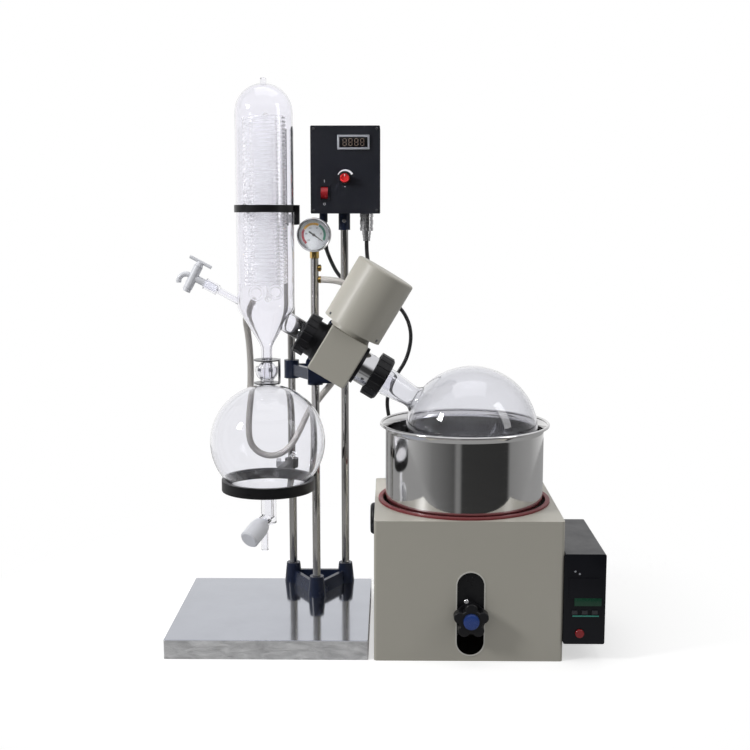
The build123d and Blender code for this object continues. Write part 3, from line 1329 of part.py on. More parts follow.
# Bath controller
ctrl_x = CASING_X1 + CTRL_W / 2
key_places = [(ctrl_x + k * KEY_PITCH, KEY_Z) for k in (-1, 0, 1)]
with BuildPart() as controller_case:
    with BuildSketch(Plane.XZ.offset(-CASING_FRONT)):
        with Locations((ctrl_x, CTRL_Z0 + CTRL_H / 2)):
            RectangleRounded(CTRL_W, CTRL_H, CTRL_CORNER)
    extrude(amount=-(CTRL_BACK - CASING_FRONT))
    offset(amount=-SHEET, openings=controller_case.faces().sort_by(Axis.Y)[0])

with BuildPart() as controller_panel:
    with BuildSketch(Plane.XZ.offset(-CASING_FRONT)):
        with Locations((ctrl_x, CTRL_Z0 + CTRL_H / 2)):
            RectangleRounded(CTRL_W, CTRL_H, CTRL_CORNER)
    extrude(amount=CTRL_PANEL_T)
    with BuildSketch(Plane.XZ.offset(-CASING_FRONT + CTRL_PANEL_T)):
        with Locations((ctrl_x, CTRL_WINDOW_Z)):
            Rectangle(CTRL_WINDOW_W, CTRL_WINDOW_H)
    extrude(amount=CTRL_WINDOW_RISE)
    with BuildSketch(Plane.XZ.offset(-CASING_FRONT - CTRL_PANEL_T)):
        with Locations(*key_places):
            Rectangle(KEY_W + 2 * GAP, KEY_H + 2 * GAP)
        with Locations((SWITCH_X, SWITCH_Z)):
            Circle(SWITCH_R + GAP)
    extrude(amount=4 * CTRL_PANEL_T, mode=Mode.SUBTRACT)

panel_y = CASING_FRONT - CTRL_PANEL_T
set_keys = []
for place in key_places:
    with BuildPart() as set_key:
        with BuildSketch(Plane.XZ.offset(-panel_y)):
            with Locations(place):
                Rectangle(KEY_W, KEY_H)
        extrude(amount=KEY_RISE)
        extrude(set_key.faces().sort_by(Axis.Y)[-1], amount=BUTTON_DEPTH)
        with BuildSketch(Plane.XZ.offset(-CASING_FRONT - GAP)):
            with Locations(place):
                Rectangle(KEY_W + 2 * BUTTON_LIP, KEY_H + 2 * BUTTON_LIP)
        extrude(amount=-BUTTON_LIP)
    set_keys.append(set_key)

with BuildPart() as heater_switch:
    with BuildSketch(Plane.XZ.offset(-panel_y)):
        with Locations((SWITCH_X, SWITCH_Z)):
            Circle(SWITCH_R)
    extrude(amount=SWITCH_RISE)
    fillet(heater_switch.edges().sort_by(Axis.Y)[0], SWITCH_RISE / 3)
    extrude(heater_switch.faces().sort_by(Axis.Y)[-1], amount=BUTTON_DEPTH)
    with BuildSketch(Plane.XZ.offset(-CASING_FRONT - GAP)):
        with Locations((SWITCH_X, SWITCH_Z)):
            Circle(SWITCH_R + BUTTON_LIP)
    extrude(amount=-BUTTON_LIP)

# Cords: straight runs joined by arcs as large as the runs allow
hose_points = [
    Vector(POST_X + POST_R + NIPPLE_COLLAR_T, POST_FRONT_Y, HOSE_NIPPLE_Z),
    Vector(106, POST_FRONT_Y, HOSE_NIPPLE_Z),
    Vector(128, 79, 587),
    Vector(140, 88, 564),
    Vector(142, 98, 532),
    Vector(135, 104, 494),
    Vector(121, 107, 456),
    Vector(102, 107, 420),
    Vector(72, 111, 384),
    Vector(52, 115, 354),
    Vector(36, 118, 320),
    Vector(22, 120, 296),
    Vector(3, 121, 280),
    Vector(-20, 121, 276),
    Vector(-41, 119, 285),
    Vector(-54, 115, 304),
    Vector(-58, 110, 338),
    Vector(-57, 105, 388),
    Vector(-55, 100, 440),
    Vector(-54, 92, 496),
]
barb_foot = Vector(COND_X, 0, BARB_Z) + barb_out * (barb_wall + NIPPLE_COLLAR_T)
hose_points += [barb_foot + barb_out * 2 * BARB_L, barb_foot]
cord_points = [
    Vector(GLAND_X, GLAND_Y, BOX_Z0 - GLAND_H),
    Vector(GLAND_X, GLAND_Y, 664),
    Vector(88, 182, 632),
    Vector(106, 188, 596),
    Vector(140, 190, 570),
    Vector(184, 190, 560),
    Vector(220, 188, 542),
    Vector(240, 186, 498),
    Vector(232, 185, 448),
    Vector(208, 185, 412),
    Vector(192, 186, 374),
    Vector(198, 188, 330),
    Vector(212, 192, 284),
    Vector(226, 196, 234),
    Vector(236, 200, 180),
    Vector(242, 204, 126),
    Vector(247, 209, 80),
    Vector(254, 217, 44),
    Vector(265, 229, 22),
    Vector(281, 241, 13),
    Vector(302, COIL_Y, COIL_TURN_R),
    Vector(COIL_X - COIL_MID_R - COIL_TURN_R - RUN, COIL_Y, COIL_TURN_R),
]
motor_entry = FLASK_C + AXIAL * MOTOR_T + ACROSS * CABLE_ENTRY + BACK * (COVER_R + RUN)
motor_points = [
    Vector(PLUG_X, PLUG_Y, BOX_Z0 - PLUG_H - PLUG_TAIL_H),
    Vector(PLUG_X, PLUG_Y, 640),
    Vector(162, 138, 614),
    Vector(167, 120, 588),
    motor_entry + BACK * 36,
    motor_entry,
]


def arc_radii(points):
    """Largest even radius at each inner corner, from the shorter run and the turn."""
    radii = []
    for before, here, after in zip(points, points[1:], points[2:]):
        run = min((here - before).length, (after - here).length)
        turn = (here - before).get_angle(after - here)
        radii.append(0.45 * run / tan(radians(turn / 2)))
    return radii


def cord_tube(points, radius, bore=0):
    """Round tube along the points, with its length and its tightest bend printed."""
    radii = arc_radii(points)
    with BuildPart() as tube:
        with BuildLine() as route:
            FilletPolyline(*points, radius=radii)
        with BuildSketch(Plane(points[0], z_dir=points[1] - points[0])):
            Circle(radius)
            if bore:
                Circle(bore, mode=Mode.SUBTRACT)
        sweep(path=route.wires()[0])
    length = route.wires()[0].length
    ratio = tube.part.volume / (pi * (radius**2 - bore**2) * length)
    print(f"cord length {length:.0f} tightest {min(radii):.1f} volume ratio {ratio:.4f}")
    print("  radii", [round(r) for r in radii])
    return tube


vacuum_hose = cord_tube(hose_points, HOSE_R, NIPPLE_R + SEAT)
power_cord = cord_tube(cord_points, CORD_R)
motor_cable = cord_tube(motor_points, MOTOR_CORD_R)

# Spare cord coiled behind the bath, and its plug
tail_z = MAINS_PLUG_R + MAINS_PLUG_L * tan(radians(MAINS_TAPER))
tail_plane = Plane((COIL_X, COIL_Y - COIL_MID_R, tail_z), x_dir=BACK, z_dir=(1, 0, 0))
with BuildPart() as cord_coil:
    with Locations((COIL_X, COIL_Y, COIL_TURN_R)):
        Torus(COIL_MID_R, COIL_TURN_R)
    with BuildSketch(tail_plane):
        Circle(CORD_R)
    extrude(amount=MAINS_TAIL)

plug_plane = tail_plane.offset(MAINS_TAIL)
with BuildPart() as power_plug:
    with BuildSketch(plug_plane):
        Circle(MAINS_PLUG_R)
    extrude(amount=MAINS_PLUG_L, taper=-MAINS_TAPER)
    with BuildSketch(plug_plane.offset(MAINS_PLUG_L)):
        with GridLocations(2 * MAINS_PLUG_R * 0.7, 1, 2, 1):
            Circle(MAINS_PIN_R)
    extrude(amount=MAINS_PIN_L)

PIECES = {
    "base_tray": base_tray,
    "base_floor_plate": base_floor_plate,
    "base_spider": base_spider,
    "rear_posts": rear_posts,
    "front_post": front_post,
    "upper_spider": upper_spider,
    "fasteners": fasteners,
    "gear_housing": gear_housing,
    "head_backplate": head_backplate,
    "bearings": bearings,
    "bearing_caps": bearing_caps,
    "spindle_seal": spindle_seal,
    "union_nut": union_nut,
    "spindle": spindle,
    "ring_nut": ring_nut,
    "vapour_tube": vapour_tube,
    "evaporating_flask": evaporating_flask,
    "crown_gear": crown_gear,
    "motor_shaft": motor_shaft,
    "motor_body": motor_body,
    "motor_cover": motor_cover,
    "condenser_body": condenser_body,
    "condenser_coil": condenser_coil,
    "feed_tap_body": feed_tap_body,
    "feed_key": feed_key,
    "condenser_clamp": condenser_clamp,
    "receiving_flask": receiving_flask,
    "receiver_ring": receiver_ring,
    "joint_clip": joint_clip,
    "drain_stem": drain_stem,
    "drain_knob": drain_knob,
    "gauge_case": gauge_case,
    "gauge_lens": gauge_lens,
    "gauge_needle": gauge_needle,
    "vacuum_fittings": vacuum_fittings,
    "control_box": control_box,
    "control_panel": control_panel,
    "speed_knob": speed_knob,
    "power_rocker": power_rocker,
    "box_fittings": box_fittings,
    "bath_wrap": bath_wrap,
    "bath_top": bath_top,
    "bath_floor": bath_floor,
    "bath_gasket": bath_gasket,
    "carry_grip": carry_grip,
    "bath_pot": bath_pot,
    "pot_carrier": pot_carrier,
    "heating_element": heating_element,
    "star_knob": star_knob,
    "controller_case": controller_case,
    "controller_panel": controller_panel,
    "set_key_left": set_keys[0],
    "set_key_middle": set_keys[1],
    "set_key_right": set_keys[2],
    "heater_switch": heater_switch,
    "vacuum_hose": vacuum_hose,
    "power_cord": power_cord,
    "motor_cable": motor_cable,
    "cord_coil": cord_coil,
    "power_plug": power_plug,
}
for label, piece in PIECES.items():
    piece.part.label = label
    export_step(piece.part, f"parts/{label}.step")
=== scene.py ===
"""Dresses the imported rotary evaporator: glassware, finishes, dials, cords and the studio round it."""

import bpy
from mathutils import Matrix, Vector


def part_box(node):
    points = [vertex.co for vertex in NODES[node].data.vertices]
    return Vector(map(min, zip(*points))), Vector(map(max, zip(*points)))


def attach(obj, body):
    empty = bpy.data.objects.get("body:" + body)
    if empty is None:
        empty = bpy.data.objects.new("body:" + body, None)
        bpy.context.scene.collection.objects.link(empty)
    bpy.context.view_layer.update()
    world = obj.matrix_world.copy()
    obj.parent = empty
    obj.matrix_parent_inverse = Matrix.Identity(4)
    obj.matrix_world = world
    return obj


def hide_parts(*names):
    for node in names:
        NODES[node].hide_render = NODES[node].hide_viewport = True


bl_info = {
    "name": "Rotary Evaporator Dressing",
    "version": (1, 0, 0),
    "blender": (4, 5, 0),
    "location": "View3D > Sidebar > Evaporator",
    "description": "Builds the visible pieces and finishes of a bench rotary evaporator round its CAD frame",
    "category": "Object",
}

from math import cos, pi, radians, sin

import bmesh
import bpy
from mathutils import Matrix, Vector

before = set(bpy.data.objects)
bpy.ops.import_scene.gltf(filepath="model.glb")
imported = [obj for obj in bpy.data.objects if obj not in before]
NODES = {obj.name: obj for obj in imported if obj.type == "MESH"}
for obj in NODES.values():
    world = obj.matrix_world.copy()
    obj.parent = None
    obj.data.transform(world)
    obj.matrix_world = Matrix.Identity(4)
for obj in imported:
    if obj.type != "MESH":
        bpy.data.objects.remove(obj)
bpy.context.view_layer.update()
MM = 0.001
UP = Vector((0, 0, 1))
BACK = Vector((0, 1, 0))
RIGHT = Vector((1, 0, 0))
FRONT = Vector((0, -1, 0))


# Sizes and colours a user would change

def length_prop(name, default, text):
    return bpy.props.FloatProperty(
        name=name, description=text, default=default, unit="LENGTH", min=0.0, precision=4
    )


def colour_prop(name, default, text):
    return bpy.props.FloatVectorProperty(
        name=name, description=text, default=default, size=3, subtype="COLOR", min=0.0, max=1.0
    )


class EvaporatorSizes(bpy.types.PropertyGroup):
    """Sizes of the glassware and trim."""

    flask_radius: length_prop("Flask radius", 0.112, "Outer radius of the evaporating flask")
    flask_wall: length_prop("Flask wall", 0.003, "Glass thickness of the round flasks")
    receiver_radius: length_prop("Receiver radius", 0.097, "Outer radius of the receiving flask")
    jacket_radius: length_prop("Jacket radius", 0.0475, "Outer radius of the condenser jacket")
    jacket_wall: length_prop("Jacket wall", 0.0025, "Glass thickness of the condenser jacket")
    coil_radius: length_prop("Coil radius", 0.0333, "Radius of the cooling coil at the middle of its tube")
    coil_tube: length_prop("Coil tube radius", 0.0029, "Outer radius of the coil's glass tube")
    post_radius: length_prop("Post radius", 0.007, "Outer radius of the three posts")
    post_bore: length_prop("Post bore", 0.005, "Inner radius of the three posts")
    cord_diameter: length_prop("Cord diameter", 0.007, "Diameter of the power cord and the motor cable")
    hose_diameter: length_prop("Hose diameter", 0.0115, "Diameter of the vacuum hose")
    coil_turns: bpy.props.IntProperty(
        name="Coil turns", description="Turns of the cooling coil", default=44, min=4, max=60
    )


class EvaporatorColours(bpy.types.PropertyGroup):
    """Base colours of the finishes, in linear light."""

    enamel: colour_prop("Enamel", (0.47, 0.452, 0.395), "Beige powder coat of the head and the bath")
    casting: colour_prop("Casting", (0.011, 0.016, 0.038), "Dark enamel on the castings")
    moulding: colour_prop("Moulding", (0.0055, 0.0055, 0.007), "Black moulded nuts, knobs and caps")
    stainless: colour_prop("Stainless", (0.475, 0.492, 0.54), "Film-covered stainless sheet of the tray")
    glass: colour_prop("Glass", (0.946, 0.942, 0.976), "Borosilicate glass")
    receiver_glass: colour_prop("Receiver glass", (0.918, 0.918, 0.942), "Glass of the receiving flask")
    flask_glass: colour_prop("Flask glass", (0.868, 0.87, 0.898), "Thicker glass of the evaporating flask")
    fluoropolymer: colour_prop("Fluoropolymer", (0.72, 0.73, 0.77), "White taps and stems")
    hose: colour_prop("Hose", (0.45, 0.43, 0.41), "Thick vacuum hose")
    gasket: colour_prop("Gasket", (0.17, 0.022, 0.026), "Silicone ring under the pot")


# Finishes

WHITE = (1, 1, 1, 1)
VECTOR, FLOAT, COLOUR = "NodeSocketVector", "NodeSocketFloat", "NodeSocketColor"
SKIRT_TOP = 0.0312  # the tray's sheet wears its film below this height


def set_sockets(node, values):
    """Puts constants on a node's sockets, by name or number."""
    for socket, value in values.items():
        node.inputs[socket].default_value = value


def new_node(tree, kind, values=None, **settings):
    """A new node with its settings, and with constants on its sockets."""
    node = tree.nodes.new(kind)
    for setting, value in settings.items():
        setattr(node, setting, value)
    set_sockets(node, values or {})
    return node


def maths(tree, operation, values=None):
    """A new math node."""
    return new_node(tree, "ShaderNodeMath", values, operation=operation)


def wire(tree, *runs):
    """Links nodes: each run is a node and its output, then a node and its input."""
    for start, output, end, socket in runs:
        tree.links.new(start.outputs[output], end.inputs[socket])


def node_group(name, inputs, outputs):
    """A new shader node group with its sockets, and its input and output nodes."""
    group = bpy.data.node_groups.new(name, "ShaderNodeTree")
    for label, kind, value in inputs:
        socket = group.interface.new_socket(label, in_out="INPUT", socket_type=kind)
        if value is not None:
            socket.default_value = value
    for label, kind in outputs:
        group.interface.new_socket(label, in_out="OUTPUT", socket_type=kind)
    return group, group.nodes.new("NodeGroupInput"), group.nodes.new("NodeGroupOutput")


def build_grain_group():
    """Fine bump of a moulded, sprayed or cast skin."""
    group, gin, gout = node_group(
        "skin_grain",
        [("Vector", VECTOR, None), ("Scale", FLOAT, 600.0),
         ("Strength", FLOAT, 0.1), ("Distance", FLOAT, 0.0004)],
        [("Normal", VECTOR)],
    )
    noise = new_node(group, "ShaderNodeTexNoise", {"Detail": 3.0})
    bump = new_node(group, "ShaderNodeBump")
    wire(group, (gin, "Vector", noise, "Vector"), (gin, "Scale", noise, "Scale"),
         (noise, "Fac", bump, "Height"), (gin, "Strength", bump, "Strength"),
         (gin, "Distance", bump, "Distance"), (bump, "Normal", gout, "Normal"))


def build_tone_group():
    """Slow drift of a colour over a surface, and a roughness that drifts with it."""
    group, gin, gout = node_group(
        "tone_drift",
        [("Vector", VECTOR, None), ("Colour", COLOUR, (0.5, 0.5, 0.5, 1)),
         ("Worn", COLOUR, (0.6, 0.6, 0.6, 1)), ("Scale", FLOAT, 9.0),
         ("Amount", FLOAT, 0.3), ("Rough low", FLOAT, 0.35),
         ("Rough high", FLOAT, 0.5)],
        [("Colour", COLOUR), ("Roughness", FLOAT)],
    )
    noise = new_node(group, "ShaderNodeTexNoise", {"Detail": 5.0, "Roughness": 0.62})
    spread = new_node(group, "ShaderNodeMapRange", {"From Min": 0.35, "From Max": 0.68})
    scaled = maths(group, "MULTIPLY")
    blend = new_node(group, "ShaderNodeMix", data_type="RGBA")
    rough = new_node(group, "ShaderNodeMapRange")
    wire(group, (gin, "Vector", noise, "Vector"), (gin, "Scale", noise, "Scale"),
         (noise, "Fac", spread, "Value"), (spread, "Result", scaled, 0), (gin, "Amount", scaled, 1),
         (scaled, "Value", blend, "Factor"), (gin, "Colour", blend, "A"), (gin, "Worn", blend, "B"),
         (blend, "Result", gout, "Colour"), (spread, "Result", rough, "Value"),
         (gin, "Rough low", rough, "To Min"), (gin, "Rough high", rough, "To Max"),
         (rough, "Result", gout, "Roughness"))


def build_brush_group():
    """Drawn or brushed lines: noise stretched by the Lines vector, as a normal and a roughness."""
    group, gin, gout = node_group(
        "brushed_lines",
        [("Vector", VECTOR, None), ("Lines", VECTOR, (20.0, 20.0, 1500.0)),
         ("Strength", FLOAT, 0.06), ("Rough low", FLOAT, 0.12),
         ("Rough high", FLOAT, 0.25)],
        [("Normal", VECTOR), ("Roughness", FLOAT)],
    )
    stretch = new_node(group, "ShaderNodeVectorMath", operation="MULTIPLY")
    noise = new_node(group, "ShaderNodeTexNoise", {"Scale": 1.0, "Detail": 4.0})
    bump = new_node(group, "ShaderNodeBump", {"Distance": 0.0002})
    rough = new_node(group, "ShaderNodeMapRange", {"From Min": 0.3, "From Max": 0.7})
    wire(group, (gin, "Vector", stretch, 0), (gin, "Lines", stretch, 1),
         (stretch, "Vector", noise, "Vector"), (noise, "Fac", bump, "Height"),
         (gin, "Strength", bump, "Strength"), (noise, "Fac", rough, "Value"),
         (gin, "Rough low", rough, "To Min"), (gin, "Rough high", rough, "To Max"),
         (bump, "Normal", gout, "Normal"), (rough, "Result", gout, "Roughness"))


def start_material(name):
    """A new node material: its tree, its Principled shader and its coordinates node."""
    material = bpy.data.materials.new(name)
    material.use_nodes = True
    tree = material.node_tree
    return tree, tree.nodes["Principled BSDF"], tree.nodes.new("ShaderNodeTexCoord")


def place_group(tree, name, coords, **values):
    """A shared group on the Object coordinates of a material, with constants on its sockets."""
    node = new_node(tree, "ShaderNodeGroup", node_tree=bpy.data.node_groups[name])
    set_sockets(node, {label.replace("_", " "): value for label, value in values.items()})
    wire(tree, (coords, "Object", node, "Vector"))
    return node


def rgba(colour):
    return (*colour, 1.0)


def coated_finish(name, colour, worn, rough, grain, strength, amount, scale, coat=0.0, specular=0.5):
    """Paint, plastic or rubber: a drifting tone, a drifting roughness and a fine grain."""
    tree, shader, coords = start_material(name)
    worn = worn or [min(1.0, c * 1.25 + 0.004) for c in colour]
    tone = place_group(tree, "tone_drift", coords, Colour=rgba(colour), Worn=rgba(worn), Scale=scale,
                       Amount=amount, Rough_low=rough[0], Rough_high=rough[1])
    skin = place_group(tree, "skin_grain", coords, Scale=grain, Strength=strength)
    wire(tree, (tone, "Colour", shader, "Base Color"), (tone, "Roughness", shader, "Roughness"),
         (skin, "Normal", shader, "Normal"))
    set_sockets(shader, {"Coat Weight": coat, "Coat Roughness": 0.15, "Specular IOR Level": specular})


def metal_finish(name, colour, lines, rough, strength, amount=0.25):
    """Drawn, turned or rolled metal with lines along one way."""
    tree, shader, coords = start_material(name)
    dark = [c * 0.82 for c in colour]
    tone = place_group(tree, "tone_drift", coords, Colour=rgba(colour), Worn=rgba(dark), Scale=14.0,
                       Amount=amount)
    brush = place_group(tree, "brushed_lines", coords, Lines=lines, Strength=strength,
                        Rough_low=rough[0], Rough_high=rough[1])
    wire(tree, (tone, "Colour", shader, "Base Color"), (brush, "Roughness", shader, "Roughness"),
         (brush, "Normal", shader, "Normal"))
    set_sockets(shader, {"Metallic": 1.0})


def rippled_finish(name, scale, strength, distance, values):
    """A clear skin with a faint ripple, and its constants."""
    tree, shader, coords = start_material(name)
    skin = place_group(tree, "skin_grain", coords, Scale=scale, Strength=strength, Distance=distance)
    wire(tree, (skin, "Normal", shader, "Normal"))
    set_sockets(shader, values)


def glass_finish(name, colour, rough=0.0, transmission=1.0, ior=1.474, ripple=0.02):
    """Blown glass."""
    rippled_finish(name, 22.0, ripple, 0.002, {
        "Base Color": rgba(colour), "Roughness": rough, "IOR": ior, "Transmission Weight": transmission})


def pane_finish(name):
    """Thin clear pane: only its gloss is seen, and light passes straight through it."""
    rippled_finish(name, 60.0, 0.01, 0.0005, {
        "Base Color": (0.9, 0.92, 0.94, 1), "Roughness": 0.04, "Alpha": 0.05})


def painted_glow_finish(name, colour, strength):
    """A display segment or line that glows a little: a painted glow."""
    tree, shader, coords = start_material(name)
    tone = place_group(tree, "tone_drift", coords, Colour=rgba(colour), Worn=rgba(colour), Scale=80.0,
                       Amount=0.2, Rough_low=0.25, Rough_high=0.35)
    wire(tree, (tone, "Colour", shader, "Base Color"), (tone, "Colour", shader, "Emission Color"),
         (tone, "Roughness", shader, "Roughness"))
    set_sockets(shader, {"Emission Strength": strength})


def film_sheet_finish(colour):
    """Bright stainless sheet, brushed on top, with a wrinkled clear film on its skirt that carries painted
    highlights and shade.
    """
    tree, shader, coords = start_material("tray_sheet")
    dark = [c * 0.86 for c in colour]
    brush = place_group(tree, "brushed_lines", coords, Lines=(700.0, 14.0, 700.0), Strength=0.008,
                        Rough_low=0.07, Rough_high=0.13)
    tone = place_group(tree, "tone_drift", coords, Colour=rgba(colour), Worn=rgba(dark), Scale=12.0,
                       Amount=0.5)
    stretch = new_node(tree, "ShaderNodeMapping", {"Scale": (0.6, 0.6, 1.6)})
    wrinkle = new_node(tree, "ShaderNodeTexNoise", {"Scale": 58.0, "Detail": 7.0, "Distortion": 0.5})
    split = new_node(tree, "ShaderNodeSeparateXYZ")
    skirt = maths(tree, "LESS_THAN", {1: SKIRT_TOP})
    lift = maths(tree, "MULTIPLY")
    bump = new_node(tree, "ShaderNodeBump", {"Strength": 0.9, "Distance": 0.004})
    cloud = maths(tree, "MULTIPLY_ADD", {1: 0.24})
    dull = maths(tree, "MULTIPLY_ADD", {1: -0.62, 2: 1.0})
    # Painted highlights and shade on the film: lighter on the wrinkles' crests, darker in their creases
    crease_light_mask = new_node(tree, "ShaderNodeMapRange", {"From Min": 0.3, "From Max": 0.7})
    crease_highlight_shade = new_node(tree, "ShaderNodeMix", {"A": (0.5, 0.5, 0.51, 1), "B": (0.84, 0.84, 0.85, 1)},
                       data_type="RGBA")
    film = new_node(tree, "ShaderNodeMix", data_type="RGBA")
    wire(tree, (coords, "Object", stretch, "Vector"), (stretch, "Vector", wrinkle, "Vector"),
         (coords, "Object", split, "Vector"), (split, "Z", skirt, 0),
         (wrinkle, "Fac", lift, 0), (skirt, "Value", lift, 1), (lift, "Value", bump, "Height"),
         (brush, "Normal", bump, "Normal"), (bump, "Normal", shader, "Normal"),
         (skirt, "Value", cloud, 0), (brush, "Roughness", cloud, 2), (cloud, "Value", shader, "Roughness"),
         (skirt, "Value", dull, 0), (dull, "Value", shader, "Metallic"),
         (wrinkle, "Fac", crease_light_mask, "Value"), (crease_light_mask, "Result", crease_highlight_shade, "Factor"),
         (tone, "Colour", film, "A"), (crease_highlight_shade, "Result", film, "B"), (skirt, "Value", film, "Factor"),
         (film, "Result", shader, "Base Color"))
    set_sockets(shader, {"Coat Weight": 0.2})


def build_finishes(colours):
    """Every finish of the part, by name."""
    build_grain_group()
    build_tone_group()
    build_brush_group()
    beige = colours.enamel
    # Name, colour, worn colour, roughness, grain scale, grain strength, drift, drift scale, coat, specular
    for row in (
        ("enamel", beige, [c * 0.93 for c in beige], (0.4, 0.52), 900, 0.1, 0.5, 6, 0.05),
        ("casting_enamel", colours.casting, (0.018, 0.026, 0.055), (0.2, 0.32), 260, 0.1, 0.6, 14, 0.12,
         0.3),
        ("moulding", colours.moulding, (0.011, 0.011, 0.013), (0.34, 0.48), 700, 0.1, 0.6, 24, 0, 0.3),
        ("clamp_black", (0.008, 0.008, 0.009), (0.018, 0.018, 0.02), (0.26, 0.4), 420, 0.14, 0.5, 20, 0,
         0.25),
        ("fluoropolymer", colours.fluoropolymer, None, (0.32, 0.42), 900, 0.04, 0.25, 30),
        ("panel_black", (0.0075, 0.0085, 0.0135), (0.012, 0.013, 0.019), (0.36, 0.5), 1300, 0.16, 0.5, 12, 0,
         0.35),
        ("controller_black", (0.0024, 0.0028, 0.0056), (0.0045, 0.005, 0.0095), (0.3, 0.42), 1100, 0.03, 0.5,
         16, 0.05, 0.3),
        ("window_smoke", (0.003, 0.003, 0.004), (0.006, 0.006, 0.008), (0.05, 0.09), 300, 0.01, 0.3, 10, 0.5),
        ("red_moulding", (0.48, 0.014, 0.016), (0.54, 0.03, 0.028), (0.2, 0.3), 500, 0.04, 0.3, 60, 0.3),
        ("switch_red", (0.24, 0.008, 0.012), (0.32, 0.018, 0.02), (0.2, 0.3), 500, 0.04, 0.3, 60, 0.3),
        ("blue_cap", (0.011, 0.042, 0.22), (0.02, 0.07, 0.3), (0.22, 0.32), 400, 0.04, 0.4, 60, 0.3),
        ("key_grey", (0.03, 0.031, 0.036), None, (0.35, 0.45), 900, 0.05, 0.3, 40),
        ("bezel_grey", (0.3, 0.31, 0.34), None, (0.3, 0.42), 900, 0.04, 0.3, 40),
        ("slot_edge", (0.6, 0.59, 0.55), None, (0.34, 0.46), 900, 0.05, 0.3, 20),
        ("gasket_silicone", colours.gasket, (0.21, 0.034, 0.036), (0.42, 0.55), 500, 0.08, 0.6, 22),
        ("hose_skin", colours.hose, (0.5, 0.478, 0.445), (0.38, 0.5), 320, 0.08, 0.6, 16),
        ("cord_jacket", (0.01, 0.01, 0.011), (0.022, 0.022, 0.024), (0.36, 0.5), 800, 0.08, 0.5, 18),
        ("dial_white", (0.8, 0.83, 0.86), (0.86, 0.88, 0.9), (0.4, 0.5), 600, 0.02, 0.3, 30),
    ):
        coated_finish(*row)
    for name, colour in (
        ("dial_red", (0.5, 0.015, 0.04)), ("dial_amber", (0.8, 0.42, 0.04)),
        ("dial_green", (0.02, 0.24, 0.15)), ("dial_ink", (0.01, 0.01, 0.012)),
        ("legend_white", (0.74, 0.75, 0.78)),
    ):
        coated_finish(name, colour, None, (0.4, 0.5), 600, 0.02, 0.2, 60)
    # Painted glow on the display segments and the controller's green line, which no lamp lights
    painted_glow_finish("segment_pale", (0.2, 0.15, 0.12), 0.05)
    painted_glow_finish("segment_green", (0.004, 0.045, 0.022), 0.05)
    painted_glow_finish("line_green", (0.04, 0.22, 0.17), 0.12)
    # Name, colour, lines, roughness, line strength, drift
    for row in (
        ("drawn_post", (0.52, 0.51, 0.495), (300, 300, 6), (0.05, 0.1), 0.001),
        ("pot_polish", (0.72, 0.715, 0.71), (14, 14, 900), (0.055, 0.12), 0.035, 0.2),
        ("lathe_steel", (0.74, 0.74, 0.75), (500, 500, 500), (0.08, 0.16), 0.008),
        ("plated_screw", (0.66, 0.66, 0.67), (900, 900, 900), (0.16, 0.28), 0.04),
        ("dark_steel", (0.2, 0.2, 0.21), (600, 600, 600), (0.22, 0.36), 0.05),
        ("machined_brass", (0.72, 0.5, 0.17), (600, 600, 120), (0.14, 0.26), 0.04),
        ("sheathed_heater", (0.32, 0.28, 0.24), (300, 300, 300), (0.3, 0.45), 0.05),
        ("carrier_plate", (0.3, 0.3, 0.31), (16, 900, 900), (0.28, 0.42), 0.06),
    ):
        metal_finish(*row)
    film_sheet_finish(colours.stainless)
    glass_finish("blown_glass", colours.glass)
    glass_finish("flask_glass", colours.flask_glass)
    glass_finish("receiver_glass", colours.receiver_glass, ior=1.3)
    glass_finish("coil_glass", (0.955, 0.955, 0.965), 0.03, 0.93, 1.4, 0.05)
    pane_finish("pane_glass")


# Mesh tools

ON_AXIS = 1e-6
WELD = 2e-6


def perpendicular(axis):
    """A unit vector square to the axis, lying in the glass plane where it can."""
    side = axis.cross(BACK)
    if side.length < ON_AXIS:
        side = axis.cross(UP)
    return side.normalized()


def lathe(profile, origin, axis, steps):
    """Spins a profile of (along, out) pairs, in metres, round an axis.

    A profile that starts and ends on the axis is spun as it is. Any other is closed first, into a ring.
    """
    bm = bmesh.new()
    axis = Vector(axis).normalized()
    side = perpendicular(axis)
    verts = [bm.verts.new(Vector(origin) + axis * t + side * r) for t, r in profile]
    edges = [bm.edges.new(pair) for pair in zip(verts, verts[1:])]
    if profile[0][1] > ON_AXIS or profile[-1][1] > ON_AXIS:
        edges.append(bm.edges.new((verts[-1], verts[0])))
    bmesh.ops.spin(bm, geom=verts + edges, cent=origin, axis=axis, angle=2 * pi, steps=steps, use_merge=True)
    bmesh.ops.remove_doubles(bm, verts=bm.verts, dist=WELD)
    loose = [e for e in bm.edges if not e.link_faces]
    bmesh.ops.delete(bm, geom=loose, context="EDGES")
    bmesh.ops.recalc_face_normals(bm, faces=bm.faces)
    return bm


def arc(centre, radius, start, end, count):
    """Points of an arc in a lathe profile; angles in degrees from the axis."""
    out = []
    for k in range(count + 1):
        a = radians(start + (end - start) * k / count)
        out.append((centre[0] + radius * cos(a), centre[1] + radius * sin(a)))
    return out


def rod(start, end, radius, steps=32):
    """A round bar between two points."""
    start, end = Vector(start), Vector(end)
    run = (end - start).length
    return lathe([(0, 0), (0, radius), (run, radius), (run, 0)], start, end - start, steps)


def slab(low, high, bevel=0.0, segments=2):
    """A box between two corners, with its edges eased."""
    low, high = Vector(low), Vector(high)
    bm = bmesh.new()
    bmesh.ops.create_cube(bm, size=1.0)
    size = high - low
    bmesh.ops.transform(bm, matrix=Matrix.Translation((low + high) / 2) @ Matrix.Diagonal((*size, 1.0)),
                        verts=bm.verts)
    if bevel:
        bmesh.ops.bevel(bm, geom=list(bm.edges), offset=bevel, offset_type="OFFSET", affect="EDGES",
                        segments=segments, profile=0.5, material=-1)
    return bm


